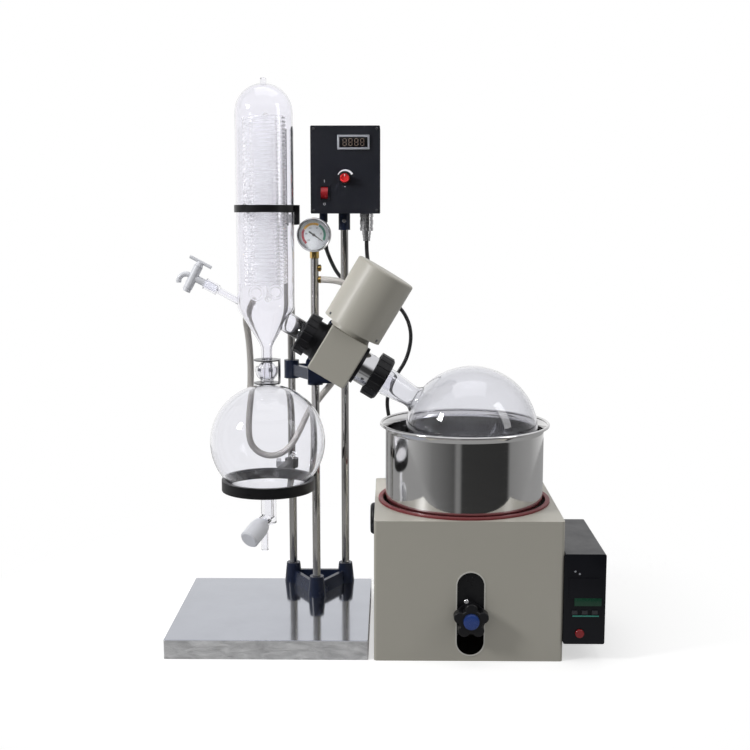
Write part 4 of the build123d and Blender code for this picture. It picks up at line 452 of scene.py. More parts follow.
def join_bm(*pieces):
    """One bmesh with all the given ones in it."""
    whole = bmesh.new()
    for bm in pieces:
        mesh = bpy.data.meshes.new("join")
        bm.to_mesh(mesh)
        bm.free()
        whole.from_mesh(mesh)
        bpy.data.meshes.remove(mesh)
    return whole


def to_object(bm, name):
    """A new object of a bmesh, at the origin."""
    mesh = bpy.data.meshes.new(name)
    bm.to_mesh(mesh)
    bm.free()
    obj = bpy.data.objects.new(name, mesh)
    bpy.context.scene.collection.objects.link(obj)
    return obj


def fuse(adds, cuts):
    """Joins closed shapes and cuts others out of them, as one bmesh."""
    parts = [to_object(bm, "shape_%d" % k) for k, bm in enumerate(list(adds) + list(cuts))]
    base = parts[0]
    for k, part in enumerate(parts[1:], 1):
        step = base.modifiers.new("step_%d" % k, "BOOLEAN")
        step.operation = "UNION" if k < len(adds) else "DIFFERENCE"
        step.solver = "EXACT"
        step.object = part
    mesh = mesh_of(base)
    for part in parts:
        old = part.data
        bpy.data.objects.remove(part)
        bpy.data.meshes.remove(old)
    bm = bmesh.new()
    bm.from_mesh(mesh)
    bpy.data.meshes.remove(mesh)
    bmesh.ops.remove_doubles(bm, verts=bm.verts, dist=1e-6)
    return bm


THIN_GLASS = ("blown_glass", "flask_glass", "receiver_glass", "coil_glass")


def dress(bm, name, finish, body="stand", replaces=(), sharp=32.0):
    """Makes a finished piece of a bmesh: smooth skin, material, body, and what it stands for."""
    obj = to_object(bm, name)
    for polygon in obj.data.polygons:
        polygon.use_smooth = True
    obj.data.set_sharp_from_angle(angle=radians(sharp))
    obj.data.materials.append(bpy.data.materials[finish])
    obj.visible_shadow = finish not in THIN_GLASS
    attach(obj, body)
    if replaces:
        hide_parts(*replaces)


def socket_screw(at, out, radius, height):
    """A cap screw's head with a round socket, standing on a face."""
    recess = radius * 0.5
    ease = radius * 0.18
    profile = [(0, 0), (0, radius), (height - ease, radius), (height, radius - ease), (height, recess),
               (height * 0.45, recess), (height * 0.45, 0)]
    return lathe(profile, at, out, 20)


def sector(centre, inner, outer, start, end, lift, steps=40):
    """A flat band of a dial that faces the front, between two angles, clockwise from its top, in degrees."""
    bm = bmesh.new()
    at = centre + FRONT * lift
    turn = Matrix.Rotation(-radians(start), 3, FRONT)
    a, b = (bm.verts.new(at + turn @ (UP * radius)) for radius in (inner, outer))
    edge = bm.edges.new((a, b))
    bmesh.ops.spin(bm, geom=[a, b, edge], cent=at, axis=FRONT, angle=-radians(end - start), steps=steps)
    bmesh.ops.recalc_face_normals(bm, faces=bm.faces)
    bm.faces.ensure_lookup_table()
    if bm.faces[0].normal.dot(FRONT) < 0:
        bmesh.ops.reverse_faces(bm, faces=bm.faces)
    return bm


def mesh_of(obj):
    """A mesh of an object as it stands, with its modifiers or its outlines filled."""
    bpy.context.view_layer.update()
    return bpy.data.meshes.new_from_object(obj.evaluated_get(bpy.context.evaluated_depsgraph_get()))


def lettering(text, size, at):
    """Flat figures as a mesh, centred on a point and facing the front."""
    curve = bpy.data.curves.new("figures", "FONT")
    curve.body = text
    curve.size = size
    curve.align_x = "CENTER"
    curve.align_y = "CENTER"
    curve.resolution_u = 2
    holder = bpy.data.objects.new("figures", curve)
    bpy.context.scene.collection.objects.link(holder)
    mesh = mesh_of(holder)
    bpy.data.objects.remove(holder)
    bpy.data.curves.remove(curve)
    turn = Matrix((RIGHT, UP, FRONT)).transposed().to_4x4()
    bm = bmesh.new()
    bm.from_mesh(mesh)
    bpy.data.meshes.remove(mesh)
    bmesh.ops.transform(bm, matrix=Matrix.Translation(Vector(at)) @ turn, verts=bm.verts)
    return bm


# Places shared with the CAD frame

FLASK_C = Vector((0.337, 0, 0.345))
FLASK_TILT = radians(31)
AXIAL = Vector((-cos(FLASK_TILT), 0, sin(FLASK_TILT)))
ACROSS = Vector((sin(FLASK_TILT), 0, cos(FLASK_TILT)))
COND_C = Vector((-0.008, 0, 0))
RECV_C = Vector((-0.008, 0, 0.3285))
FEED_FOOT = Vector((-0.053, 0, 0.566))
FEED_TILT = radians(28)
FEED_DIR = Vector((-cos(FEED_TILT), 0, sin(FEED_TILT)))
VALVE_C = Vector((-0.008, 0, 0.198))
VALVE_DIR = Vector((-0.46, -0.76, -0.46)).normalized()
BARB_C = Vector((-0.008, 0, 0.6))
BARB_TURN, BARB_DIP = radians(122), radians(35)
BARB_OUT = Vector((cos(BARB_TURN) * cos(BARB_DIP), sin(BARB_TURN) * cos(BARB_DIP), -sin(BARB_DIP)))
BARB_SKIN = 0.0475 / cos(BARB_DIP)  # from the barb's centre to the jacket's skin
BATH_C = Vector((0.325, 0, 0))
GAUGE_C = Vector((0.0685, 0.053, 0.675))

HOSE_ROUTE = [
    (0.0795, 0.075, 0.598), (0.106, 0.075, 0.598), (0.128, 0.079, 0.587), (0.14, 0.088, 0.564),
    (0.142, 0.098, 0.532), (0.135, 0.104, 0.494), (0.121, 0.107, 0.456), (0.102, 0.107, 0.42),
    (0.072, 0.111, 0.384), (0.052, 0.115, 0.354), (0.036, 0.118, 0.32), (0.022, 0.12, 0.296),
    (0.003, 0.121, 0.28), (-0.02, 0.121, 0.276), (-0.041, 0.119, 0.285), (-0.054, 0.115, 0.304),
    (-0.055, 0.11, 0.338), (-0.05, 0.105, 0.388), (-0.047, 0.1, 0.44), (-0.049, 0.092, 0.496),
]
CORD_ROUTE = [
    (0.079, 0.172, 0.696), (0.079, 0.172, 0.664), (0.088, 0.182, 0.632), (0.106, 0.188, 0.596),
    (0.14, 0.19, 0.57), (0.184, 0.19, 0.56), (0.22, 0.188, 0.542), (0.24, 0.186, 0.498),
    (0.232, 0.185, 0.448), (0.208, 0.185, 0.412), (0.192, 0.186, 0.374), (0.198, 0.188, 0.33),
    (0.212, 0.192, 0.284), (0.226, 0.196, 0.234), (0.236, 0.2, 0.18), (0.242, 0.204, 0.126),
    (0.247, 0.209, 0.08), (0.254, 0.217, 0.044), (0.265, 0.229, 0.022), (0.281, 0.241, 0.01),
    (0.302, 0.2465, 0.0045), (0.323, 0.239, 0.0038),
]
MOTOR_ENTRY = FLASK_C + AXIAL * 0.263 + ACROSS * 0.1 + BACK * 0.05205
MOTOR_ROUTE = [
    (0.157, 0.145, 0.663), (0.157, 0.145, 0.64), (0.162, 0.138, 0.614), (0.167, 0.12, 0.588),
    tuple(MOTOR_ENTRY + BACK * 0.036), tuple(MOTOR_ENTRY),
]
SPARE_C = Vector((0.376, 0.25, 0))


def spare_turns():
    """Points of the spare cord's turns: two lower ones, then two on top, ending at the plug."""
    # Turns so far, radius and height in millimetres
    lay = [(0.0, 44.5, 3.8), (0.9, 44.0, 3.8), (1.2, 36.6, 3.8), (2.0, 36.4, 3.8), (2.3, 36.4, 11.2),
           (2.95, 36.4, 11.2), (3.25, 43.8, 11.2), (4.2, 43.5, 11.6)]
    points = []
    per_turn = 16
    total = 4 + 55 / 360
    start = radians(215)
    for k in range(int(total * per_turn) + 1):
        u = k / per_turn
        angle = start + 2 * pi * u
        for (u0, r0, z0), (u1, r1, z1) in zip(lay, lay[1:]):
            if u0 <= u <= u1:
                s = (u - u0) / (u1 - u0)
                s = s * s * (3 - 2 * s)
                r, z = r0 + (r1 - r0) * s, z0 + (z1 - z0) * s
                break
        points.append((SPARE_C.x + MM * r * cos(angle), SPARE_C.y + MM * r * sin(angle), MM * z))
    return points


# Operators, one for each group of pieces

# CAD nodes by the finish they wear
PAINTED = {
    "tray_sheet": ("base_tray", "base_floor_plate"),
    "drawn_post": ("rear_posts", "front_post"),
    "plated_screw": ("fasteners",),
    "casting_enamel": ("base_spider", "upper_spider", "head_backplate", "box_fittings"),
    "clamp_black": ("condenser_clamp", "receiver_ring", "gauge_case", "pot_carrier"),
    "enamel": ("gear_housing", "motor_body", "motor_cover", "bath_wrap", "bath_top"),
    "moulding": ("bearing_caps", "union_nut", "ring_nut", "star_knob", "carry_grip", "power_plug",
                 "speed_knob"),
    "fluoropolymer": ("spindle_seal", "drain_stem", "drain_knob", "feed_key", "feed_tap_body"),
    "dark_steel": ("joint_clip", "motor_shaft", "bearings"),
    "lathe_steel": ("spindle", "crown_gear"),
    "blown_glass": ("vapour_tube", "condenser_body"),
    "receiver_glass": ("receiving_flask",),
    "flask_glass": ("evaporating_flask",),
    "coil_glass": ("condenser_coil",),
    "pane_glass": ("gauge_lens",),
    "dial_ink": ("gauge_needle",),
    "machined_brass": ("vacuum_fittings",),
    "panel_black": ("control_box", "control_panel"),
    "switch_red": ("power_rocker", "heater_switch"),
    "pot_polish": ("bath_pot",),
    "carrier_plate": ("bath_floor",),
    "gasket_silicone": ("bath_gasket",),
    "sheathed_heater": ("heating_element",),
    "controller_black": ("controller_case", "controller_panel"),
    "key_grey": ("set_key_left", "set_key_middle", "set_key_right"),
    "hose_skin": ("vacuum_hose",),
    "cord_jacket": ("power_cord", "motor_cable", "cord_coil"),
}


class EVAP_OT_finishes(bpy.types.Operator):
    """Build the finishes and give every CAD piece its own"""

    bl_idname = "evap.finishes"
    bl_label = "Finishes"

    def execute(self, context):
        build_finishes(context.scene.evaporator_colours)
        for finish, nodes in PAINTED.items():
            for name in nodes:
                data = NODES[name].data
                data.materials.clear()
                data.materials.append(bpy.data.materials[finish])
        return {"FINISHED"}


def lay_tube(name, places, diameter, finish, smooth, widths=None):
    """A round tube through control points as one NURBS curve, with its width at each of them."""
    curve = bpy.data.curves.new(name, "CURVE")
    curve.dimensions = "3D"
    curve.bevel_depth = diameter / 2
    curve.bevel_resolution = 5
    curve.use_fill_caps = True
    spline = curve.splines.new("NURBS")
    spline.points.add(len(places) - 1)
    for point, place, wide in zip(spline.points, places, widths or [1.0] * len(places)):
        point.co = (*place, 1.0)
        point.radius = wide
    spline.order_u = 3
    spline.use_endpoint_u = True
    spline.resolution_u = smooth
    curve.materials.append(bpy.data.materials[finish])
    obj = bpy.data.objects.new(name, curve)
    bpy.context.scene.collection.objects.link(obj)
    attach(obj, "stand")
    return obj


def lay_cord(name, route, diameter, finish, nodes):
    """A smooth cord that stands for CAD nodes."""
    obj = lay_tube(name, route, diameter, finish, 10)
    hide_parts(*nodes)
    return obj


def strain_relief(name, ends, diameter):
    """A tapered rubber sleeve that follows the first bend of a cord out of its housing."""
    first, second, third = (Vector(place) for place in ends)
    places = (first, second, (second + third) / 2)
    lay_tube(name, places, diameter, "moulding", 12, (1.8, 1.5, 1.15))


class EVAP_OT_cords(bpy.types.Operator):
    """Lay the power cord with its spare turns, the motor cable and the vacuum hose"""

    bl_idname = "evap.cords"
    bl_label = "Cords and hose"

    def execute(self, context):
        sizes = context.scene.evaporator_sizes
        barb_foot = BARB_C + BARB_OUT * (BARB_SKIN + 0.004)
        hose = HOSE_ROUTE + [tuple(barb_foot + BARB_OUT * 0.044), tuple(barb_foot)]
        tube = lay_cord("vacuum_hose_line", hose, sizes.hose_diameter, "hose_skin",
                        ["vacuum_hose"])
        route = CORD_ROUTE + spare_turns()
        low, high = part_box("power_plug")
        plug_mid = (low + high) / 2
        route += [(low.x - 0.012, plug_mid.y, 0.0125), (low.x, plug_mid.y, plug_mid.z)]
        lead = lay_cord("power_lead", route, sizes.cord_diameter, "cord_jacket",
                        ["power_cord", "cord_coil"])
        for name, ends in (("lead_relief", route[:3]), ("plug_relief", route[:-4:-1]),
                           ("motor_relief", MOTOR_ROUTE[:-4:-1])):
            strain_relief(name, ends, sizes.cord_diameter)
        spare = fuse([slab((0.37375, 0.2815, 0.0001), (0.37825, 0.2995, 0.0166), 0.0006),
                      slab((0.3728, 0.2985, 0.006), (0.3792, 0.3025, 0.0115), 0.0006)],
                     [slab((0.37, 0.2825, 0.0003), (0.382, 0.2985, 0.0157), 0.0004)])
        dress(spare, "cord_tie", "moulding")
        cable = lay_cord("motor_lead", MOTOR_ROUTE, sizes.cord_diameter, "cord_jacket",
                         ["motor_cable"])
        return {"FINISHED"}


class EVAP_OT_posts(bpy.types.Operator):
    """Draw the three round posts of the stand, open at the top"""

    bl_idname = "evap.posts"
    bl_label = "Posts"

    def execute(self, context):
        sizes = context.scene.evaporator_sizes
        out, bore, break_edge = sizes.post_radius, sizes.post_bore, 0.0006

        def tube(x, y, low, high):
            tall = high - low
            rim = [(tall - break_edge, out), (tall, out - break_edge), (tall, bore)]
            return lathe([(0, bore), (0, out), *rim], (x, y, low), UP, 64)

        low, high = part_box("rear_posts")
        middle = (low.y + high.y) / 2
        left = tube(low.x + out, middle, low.z, high.z)
        right = tube(high.x - out, middle, low.z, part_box("control_box")[0].z)
        dress(join_bm(left, right), "rear_tubes", "drawn_post", replaces=["rear_posts"])
        low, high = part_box("front_post")
        front = tube((low.x + high.x) / 2, (low.y + high.y) / 2, low.z, high.z)
        dress(front, "front_tube", "drawn_post", replaces=["front_post"])
        return {"FINISHED"}


class EVAP_OT_flask(bpy.types.Operator):
    """Blow the evaporating flask and its vapour tube"""

    bl_idname = "evap.flask"
    bl_label = "Evaporating flask"

    def execute(self, context):
        sizes = context.scene.evaporator_sizes
        big, wall = sizes.flask_radius, sizes.flask_wall
        # Outside from the foot to the flange, then the bore and the inside back to the foot
        skin = arc((0, 0), big, 180, 12.4, 72)
        skin += [(0.1142, 0.02), (0.118, 0.0186), (0.124, 0.0186), (0.166, 0.0235), (0.1738, 0.0235),
                 (0.175, 0.0247), (0.175, 0.0302), (0.1757, 0.031), (0.1803, 0.031), (0.181, 0.0303),
                 (0.181, 0.0205), (0.166, 0.0205), (0.124, 0.0156), (0.117, 0.0156), (0.1115, 0.0173)]
        skin += arc((0, 0), big - wall, 10.6, 180, 72)
        dress(lathe(skin, FLASK_C, AXIAL, 128), "flask_glass", "flask_glass", "spindle",
              ["evaporating_flask"])
        tube = [(0.158, 0.0112), (0.158, 0.013), (0.181, 0.013), (0.181, 0.031), (0.185, 0.031),
                (0.185, 0.013), (0.326, 0.013), (0.326, 0.0112)]
        dress(lathe(tube, FLASK_C, AXIAL, 64), "vapour_tube_glass", "blown_glass", "spindle",
              ["vapour_tube"])
        return {"FINISHED"}


def wind(foot, radius, thick, turns, height, per_turn=36):
    """A close helix of glass tube, wound upwards from a foot on its axis."""
    bm = bmesh.new()
    place = Matrix.Translation(foot + BACK * radius) @ Matrix.Rotation(pi / 2, 4, "Y")
    ring = bmesh.ops.create_circle(bm, cap_ends=True, radius=thick, segments=10, matrix=place)
    geom = ring["verts"] + bm.edges[:] + bm.faces[:]
    bmesh.ops.spin(bm, geom=geom, cent=foot, axis=UP, dvec=UP * (height / turns / per_turn),
                   angle=2 * pi * turns, steps=turns * per_turn)
    bmesh.ops.recalc_face_normals(bm, faces=bm.faces)
    return bm


class EVAP_OT_condenser(bpy.types.Operator):
    """Blow the condenser jacket with its side arms, and wind the cooling coil"""

    bl_idname = "evap.condenser"
    bl_label = "Condenser"

    def execute(self, context):
        sizes = context.scene.evaporator_sizes
        big, wall = sizes.jacket_radius, sizes.jacket_wall
        dome = 0.921 - big
        # Outside from the ball joint up to the dome, and the room inside it
        skin = [(0.438, 0.0), (0.438, 0.01058)] + arc((0.45, 0), 0.016, 138.6, 34.2, 12)
        skin += [(0.482, 0.009), (0.489, 0.0096), (0.495, 0.0116), (0.501, 0.0149), (0.546, 0.0424),
                 (0.5515, 0.0456), (0.556, 0.0472), (0.561, big)]
        skin += [(dome, big)] + arc((dome, 0), big, 90, 0, 24)[1:]
        cavity = [(0.434, 0.0), (0.434, 0.007), (0.483, 0.007), (0.4895, 0.0076), (0.4958, 0.0098),
                  (0.502, 0.013), (0.547, 0.0402), (0.5522, 0.0433), (0.5568, 0.0448), (0.5618, big - wall)]
        cavity += [(dome, big - wall)] + arc((dome, 0), big - wall, 90, 0, 24)[1:]
        arm0, arm1 = FLASK_C + AXIAL * 0.318, FLASK_C + AXIAL * 0.4025
        barb_l = BARB_SKIN + 0.022
        low, high = COND_C + UP * 0.568, COND_C + UP * 0.871
        adds = [
            lathe(skin, COND_C, UP, 96),
            lathe([(0.912, 0), (0.912, 0.005), (0.928, 0.005), (0.93, 0.0035), (0.93, 0)],
                  COND_C, UP, 32),
            rod(arm0, arm1, 0.017, 48),
            lathe([(0.318, 0), (0.318, 0.029), (0.3225, 0.029), (0.3245, 0.02), (0.328, 0.017), (0.328, 0)],
                  FLASK_C, AXIAL, 48),
            lathe([(0, 0), (0, 0.006), (0.037, 0.006), (0.041, 0.009), (0.0625, 0.009), (0.0632, 0.0098),
                   (0.064, 0.0098), (0.064, 0)], FEED_FOOT, FEED_DIR, 40),
            rod(BARB_C, BARB_C + BARB_OUT * barb_l, 0.004, 24),
            rod(low, low + BACK * 0.05, 0.008, 32),
            rod(high, high + BACK * 0.05, 0.008, 32),
        ]
        cuts = [
            lathe(cavity, COND_C, UP, 96),
            rod(arm0 - AXIAL * 0.001, arm1, 0.0148, 48),
            rod(FEED_FOOT - FEED_DIR * 0.006, FEED_FOOT + FEED_DIR * 0.043, 0.003, 24),
            lathe([(0.042, 0), (0.042, 0.00555), (0.0645, 0.0071), (0.0645, 0)], FEED_FOOT, FEED_DIR, 40),
            rod(BARB_C, BARB_C + BARB_OUT * (barb_l + 0.001), 0.0025, 24),
            rod(low, low + BACK * 0.072, 0.0055, 32),
            rod(high, high + BACK * 0.072, 0.0055, 32),
        ]
        dress(fuse(adds, cuts), "jacket_glass", "blown_glass", replaces=["condenser_body"])

        mid, thick, turns = sizes.coil_radius, sizes.coil_tube, sizes.coil_turns
        outer = wind(COND_C + UP * 0.594, mid, thick, turns, 0.274)
        inner = wind(COND_C + UP * 0.594, mid - 0.0105, thick, turns, 0.274)
        end = [(mid - 0.002, 0), (mid - 0.002, 0.0055), (0.051, 0.0055), (0.0515, 0.005), (0.0515, 0.0045),
               (0.071, 0.0045), (0.0715, 0.004), (0.0715, 0)]
        ends = [lathe(end, place, BACK, 24) for place in (low, high)]
        ends += [rod(low + BACK * mid, low + BACK * mid + UP * 0.028, thick, 16),
                 rod(high + BACK * mid - UP * 0.006, high + BACK * mid, thick, 16)]
        for x, z in ((-0.0245, 0.5795), (0.0075, 0.5815)):
            ring = lathe([(thick * sin(k * pi / 6), 0.0105 + thick * cos(k * pi / 6)) for k in range(12)],
                         Vector((x, 0.004, z)), BACK, 48)
            ends.append(ring)
        dress(join_bm(outer, inner, *ends), "wound_coil", "coil_glass",
              replaces=["condenser_coil"], sharp=60.0)
        return {"FINISHED"}


class EVAP_OT_receiver(bpy.types.Operator):
    """Blow the receiving flask with its cup, drain and valve chamber"""

    bl_idname = "evap.receiver"
    bl_label = "Receiving flask"

    def execute(self, context):
        sizes = context.scene.evaporator_sizes
        big, small = sizes.receiver_radius, sizes.receiver_radius - sizes.flask_wall
        z = RECV_C.z
        # Outside from the valve's block up to the cup, then the inside back down
        skin = [(0.185, 0.0), (0.185, 0.0115), (0.1865, 0.013), (0.226, 0.013), (0.2305, 0.0142)]
        skin += arc((z, 0), big, 170.0, 7.6, 72)
        skin += [(0.4275, 0.0113), (0.432, 0.011)] + arc((0.45, 0), 0.0195, 145.6, 72.1, 12)
        skin += arc((0.45, 0), 0.01605, 68.0, 154.1, 12)
        skin += [(0.43, 0.007), (0.424, 0.0076)] + arc((z, 0), small, 5.6, 173.4, 72)
        skin += [(0.233, 0.009), (0.228, 0.0072), (0.198, 0.007), (0.198, 0.0)]
        outer = lathe(skin, Vector((RECV_C.x, 0, 0)), UP, 112)
        chamber = lathe([(0, 0), (0, 0.011), (0.0325, 0.011), (0.033, 0.0118), (0.034, 0.0118),
                         (0.034, 0)], VALVE_C, VALVE_DIR, 40)
        spout_at = Vector((-0.015, 0, 0))
        spout = lathe([(0.138, 0), (0.138, 0.0058), (0.1386, 0.00635), (0.196, 0.00635), (0.196, 0)],
                      spout_at, UP, 32)
        cuts = [
            rod(VALVE_C - VALVE_DIR * 0.004, VALVE_C + VALVE_DIR * 0.07, 0.0064, 32),
            rod(spout_at + UP * 0.137, spout_at + UP * 0.192, 0.00385, 24),
            rod(VALVE_C, VALVE_C + UP * 0.034, 0.007, 32),
        ]
        dress(fuse([outer, chamber, spout], cuts), "receiver_glass", "receiver_glass",
              replaces=["receiving_flask"])
        return {"FINISHED"}


class EVAP_OT_gauge(bpy.types.Operator):
    """Print the vacuum gauge's dial"""

    bl_idname = "evap.gauge"
    bl_label = "Vacuum gauge"

    def execute(self, context):
        face = Vector((GAUGE_C.x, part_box("gauge_needle")[1].y + 0.0004, GAUGE_C.z))
        disc = lathe([(0.00002, 0), (0.00002, 0.0258), (0.00012, 0.0256), (0.00012, 0)], face, FRONT, 64)
        dress(disc, "gauge_dial", "dial_white")
        for tint, start, end in (("red", -138, -60), ("amber", -58, 26), ("green", 30, 118)):
            band = sector(face, 0.0168, 0.0208, start, end, 0.00016)
            dress(band, "gauge_" + tint, "dial_" + tint)
        ticks = []
        for k in range(51):
            angle = -135 + 270 * k / 50
            reach = 0.003 if k % 10 == 0 else (0.0022 if k % 5 == 0 else 0.0014)
            half = 0.55 if k % 10 == 0 else 0.32
            ticks.append(sector(face, 0.0244 - reach, 0.0244, angle - half, angle + half, 0.00018, 1))
        for k in range(6):
            angle = radians(-135 + 54 * k)
            place = face + FRONT * 0.0002 + (UP * cos(angle) + RIGHT * sin(angle)) * 0.0128
            ticks.append(lettering(str(100 - 20 * k), 0.004, place))
        dress(join_bm(*ticks), "gauge_figures", "dial_ink")
        rim = lathe([(0.0, 0.0262), (0.0012, 0.0266), (0.0017, 0.0275), (0.0012, 0.0286), (0.0, 0.029),
                     (-0.003, 0.0292), (-0.003, 0.0288), (-0.0002, 0.0284), (-0.0002, 0.0262)],
                    GAUGE_C, FRONT, 72)
        dress(rim, "gauge_rim", "lathe_steel")
        return {"FINISHED"}


def segment_figures(centre, width, height, count, pitch):
    """Unlit seven-segment figures on a panel that faces the front."""
    bars = []
    for k in range(count):
        x = centre.x + (k - (count - 1) / 2) * pitch
        thick = width * 0.16
        for dz in (-height / 2, 0, height / 2):
            bars.append(slab((x - width * 0.32, centre.y - 0.0003, centre.z + dz - thick / 2),
                             (x + width * 0.32, centre.y, centre.z + dz + thick / 2), 0.0001, 1))
        for dx in (-width * 0.45, width * 0.45):
            for dz in (-height / 4, height / 4):
                bars.append(slab((x + dx - thick / 2, centre.y - 0.0003, centre.z + dz - height * 0.19),
                                 (x + dx + thick / 2, centre.y, centre.z + dz + height * 0.19), 0.0001, 1))
    return join_bm(*bars)


class EVAP_OT_control_box(bpy.types.Operator):
    """Fit the speed control's window, knob, scale and switch marks"""

    bl_idname = "evap.control_box"
    bl_label = "Speed control"

    def execute(self, context):
        face = 0.1135
        window = slab((0.1101, face - 0.0012, 0.8241), (0.1599, face - 0.0001, 0.8429), 0.0004)
        dress(window, "speed_window", "window_smoke")
        figures = segment_figures(Vector((0.135, face - 0.0012, 0.8335)), 0.0062, 0.012, 4, 0.0102)
        # The unlit figures glow a little: a painted glow.
        dress(figures, "speed_figures", "segment_pale")
        frame_bm = fuse([slab((0.107, face - 0.0036, 0.821), (0.163, face - 0.0002, 0.846), 0.0008)],
                        [slab((0.1104, face - 0.006, 0.8244), (0.1596, face + 0.002, 0.8426), 0.0006)])
        dress(frame_bm, "speed_bezel", "bezel_grey")

        at = Vector((0.12, face, 0.772))
        skirt = lathe([(0.0005, 0), (0.0005, 0.011), (0.0028, 0.011), (0.0036, 0.0102), (0.0036, 0)],
                      at, FRONT, 48)
        dress(skirt, "speed_skirt", "moulding", "speed_knob", ["speed_knob"])
        cap = lathe([(0.0036, 0), (0.0036, 0.0084), (0.0128, 0.008), (0.0146, 0.0068), (0.0142, 0.005),
                     (0.0139, 0)], at, FRONT, 24)
        pointer = slab(at + Vector((-0.0006, -0.015, 0.003)), at + Vector((0.0006, -0.0136, 0.0066)),
                       0.0002)
        dress(cap, "speed_cap", "red_moulding", "speed_knob", sharp=20)
        dress(pointer, "speed_pointer", "legend_white", "speed_knob")
        step = 15.5
        marks = [sector(at, 0.0126, 0.0142 + 0.002 * (k / 8), step * k - 62, step * k - 46.5, 0.0002, 4)
                 for k in range(8)]
        marks.append(sector(at, 0.0138, 0.015, 176, 184, 0.0002, 2))
        marks.append(lettering("I", 0.007, (0.0842, face - 0.0003, 0.767)))
        marks.append(lettering("O", 0.006, (0.0842, face - 0.0003, 0.7272)))
        dress(join_bm(*marks), "speed_marks", "legend_white")
        screws = [socket_screw((x, face - 0.0001, z), FRONT, 0.0024, 0.0014)
                  for x in (0.0655, 0.1755) for z in (0.7165, 0.8565)]
        dress(join_bm(*screws), "speed_screws", "dark_steel")
        shell = [(0.0002, 0), (0.0002, 0.0122), (0.006, 0.0122), (0.0064, 0.0113), (0.011, 0.0113),
                 (0.0114, 0.012), (0.019, 0.012), (0.0196, 0.0112), (0.024, 0.0112), (0.0244, 0.0118),
                 (0.0296, 0.0118),
                 (0.0302, 0.0112), (0.0306, 0.008), (0.037, 0.008), (0.0374, 0.0072), (0.042, 0.0072),
                 (0.0424, 0.0066), (0.0482, 0.0064), (0.0484, 0.006), (0.0484, 0)]
        dress(lathe(shell, (0.157, 0.145, 0.711), -UP, 40), "motor_connector", "plated_screw",
              sharp=24)
        dress(socket_screw((0.117, 0.1486, 0.6985), FRONT, 0.0034, 0.0022), "post_screw", "plated_screw")
        motor = FLASK_C + AXIAL * 0.263 + ACROSS * 0.053
        pins = []
        for turn in (-58, 58):
            way = AXIAL * -sin(radians(turn)) - BACK * cos(radians(turn))
            pins.append(socket_screw(motor + way * 0.0519, way, 0.0024, 0.0012))
        dress(join_bm(*pins), "cover_screws", "dark_steel")
        return {"FINISHED"}


def slot_rim(low, inner, outer, height, proud):
    """A thin raised edge round an upright slot with round ends, on a face that looks to the front."""
    bm = bmesh.new()
    turn = Matrix.Translation(Vector(low)) @ Matrix.Rotation(pi / 2, 4, "X")
    for radius in (inner, outer):
        bmesh.ops.create_circle(bm, radius=radius, segments=64, matrix=turn)
    for vert in bm.verts:
        if vert.co.z > low[2] + 1e-6:
            vert.co.z += height
    bmesh.ops.bridge_loops(bm, edges=bm.edges[:])
    skin = bmesh.ops.extrude_face_region(bm, geom=bm.faces[:])
    raised = [v for v in skin["geom"] if isinstance(v, bmesh.types.BMVert)]
    bmesh.ops.translate(bm, vec=FRONT * proud, verts=raised)
    bmesh.ops.recalc_face_normals(bm, faces=bm.faces)
    return bm


class EVAP_OT_bath(bpy.types.Operator):
    """Spin the polished pot and trim the bath's front"""

    bl_idname = "evap.bath"
    bl_label = "Heating bath"

    def execute(self, context):
        # Underside and outside up to the rolled rim, then the inside back down
        skin = [(0.2038, 0), (0.2038, 0.124)] + arc((0.2128, 0.124), 0.009, 180, 90, 8)[1:]
        skin += [(0.3495, 0.133), (0.352, 0.1333), (0.359, 0.138)]
        skin += arc((0.3605, 0.1405), 0.0025, 230, -120, 20)
        skin += [(0.358, 0.1361), (0.3516, 0.1321), (0.3495, 0.1318)]
        skin += arc((0.2128, 0.124), 0.0078, 90, 180, 8) + [(0.205, 0)]
        dress(lathe(skin, BATH_C, UP, 160), "pot_shell", "pot_polish", "bath_lift",
              ["bath_pot"], 50.0)
        at = Vector((0.328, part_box("star_knob")[0].y, 0.074))
        cap = lathe([(-0.0026, 0), (-0.0026, 0.0132), (-0.0004, 0.013), (0.0004, 0.012), (0.001, 0.008),
                     (0.0012, 0)], at, FRONT, 48)
        dress(cap, "star_cap", "blue_cap", "star_knob")
        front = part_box("bath_wrap")[0].y
        dress(slot_rim((0.328, front, 0.032), 0.0216, 0.0236, 0.093, 0.0008), "slot_rim", "slot_edge")
        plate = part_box("pot_carrier")[0].y
        dress(socket_screw((0.3195, plate + 0.0001, 0.108), FRONT, 0.0036, 0.003), "carrier_screw",
              "plated_screw", "bath_lift")
        return {"FINISHED"}


class EVAP_OT_controller(bpy.types.Operator):
    """Fit the bath controller's display, lamps and marks"""

    bl_idname = "evap.controller"
    bl_label = "Bath controller"

    def execute(self, context):
        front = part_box("controller_panel")[0].y
        # The display strip and the green line below it glow a little: a painted glow.
        strip = slab((0.4925, front - 0.0004, 0.0935), (0.5355, front, 0.1065), 0.0002)
        dress(strip, "heat_display", "segment_green")
        line = slab((0.49, front - 0.0002, 0.0758), (0.532, front + 0.0003, 0.078), 0.0001)
        dress(line, "heat_line", "line_green")
        bead = [(-0.0002, 0), (-0.0002, 0.0017), (0.0005, 0.0015), (0.0009, 0.0008), (0.001, 0)]
        lamps = [lathe(bead, (x, front, z), FRONT, 20) for x, z in ((0.493, 0.15), (0.5, 0.146))]
        dress(join_bm(*lamps), "heat_lamps", "bezel_grey")
        return {"FINISHED"}


FLOOR_CENTRE = (0.15, 0.6, 0.0)
FLOOR_RADIUS = 1.25
SHADE_CENTRE = (0.15, 0.1, 0.0)
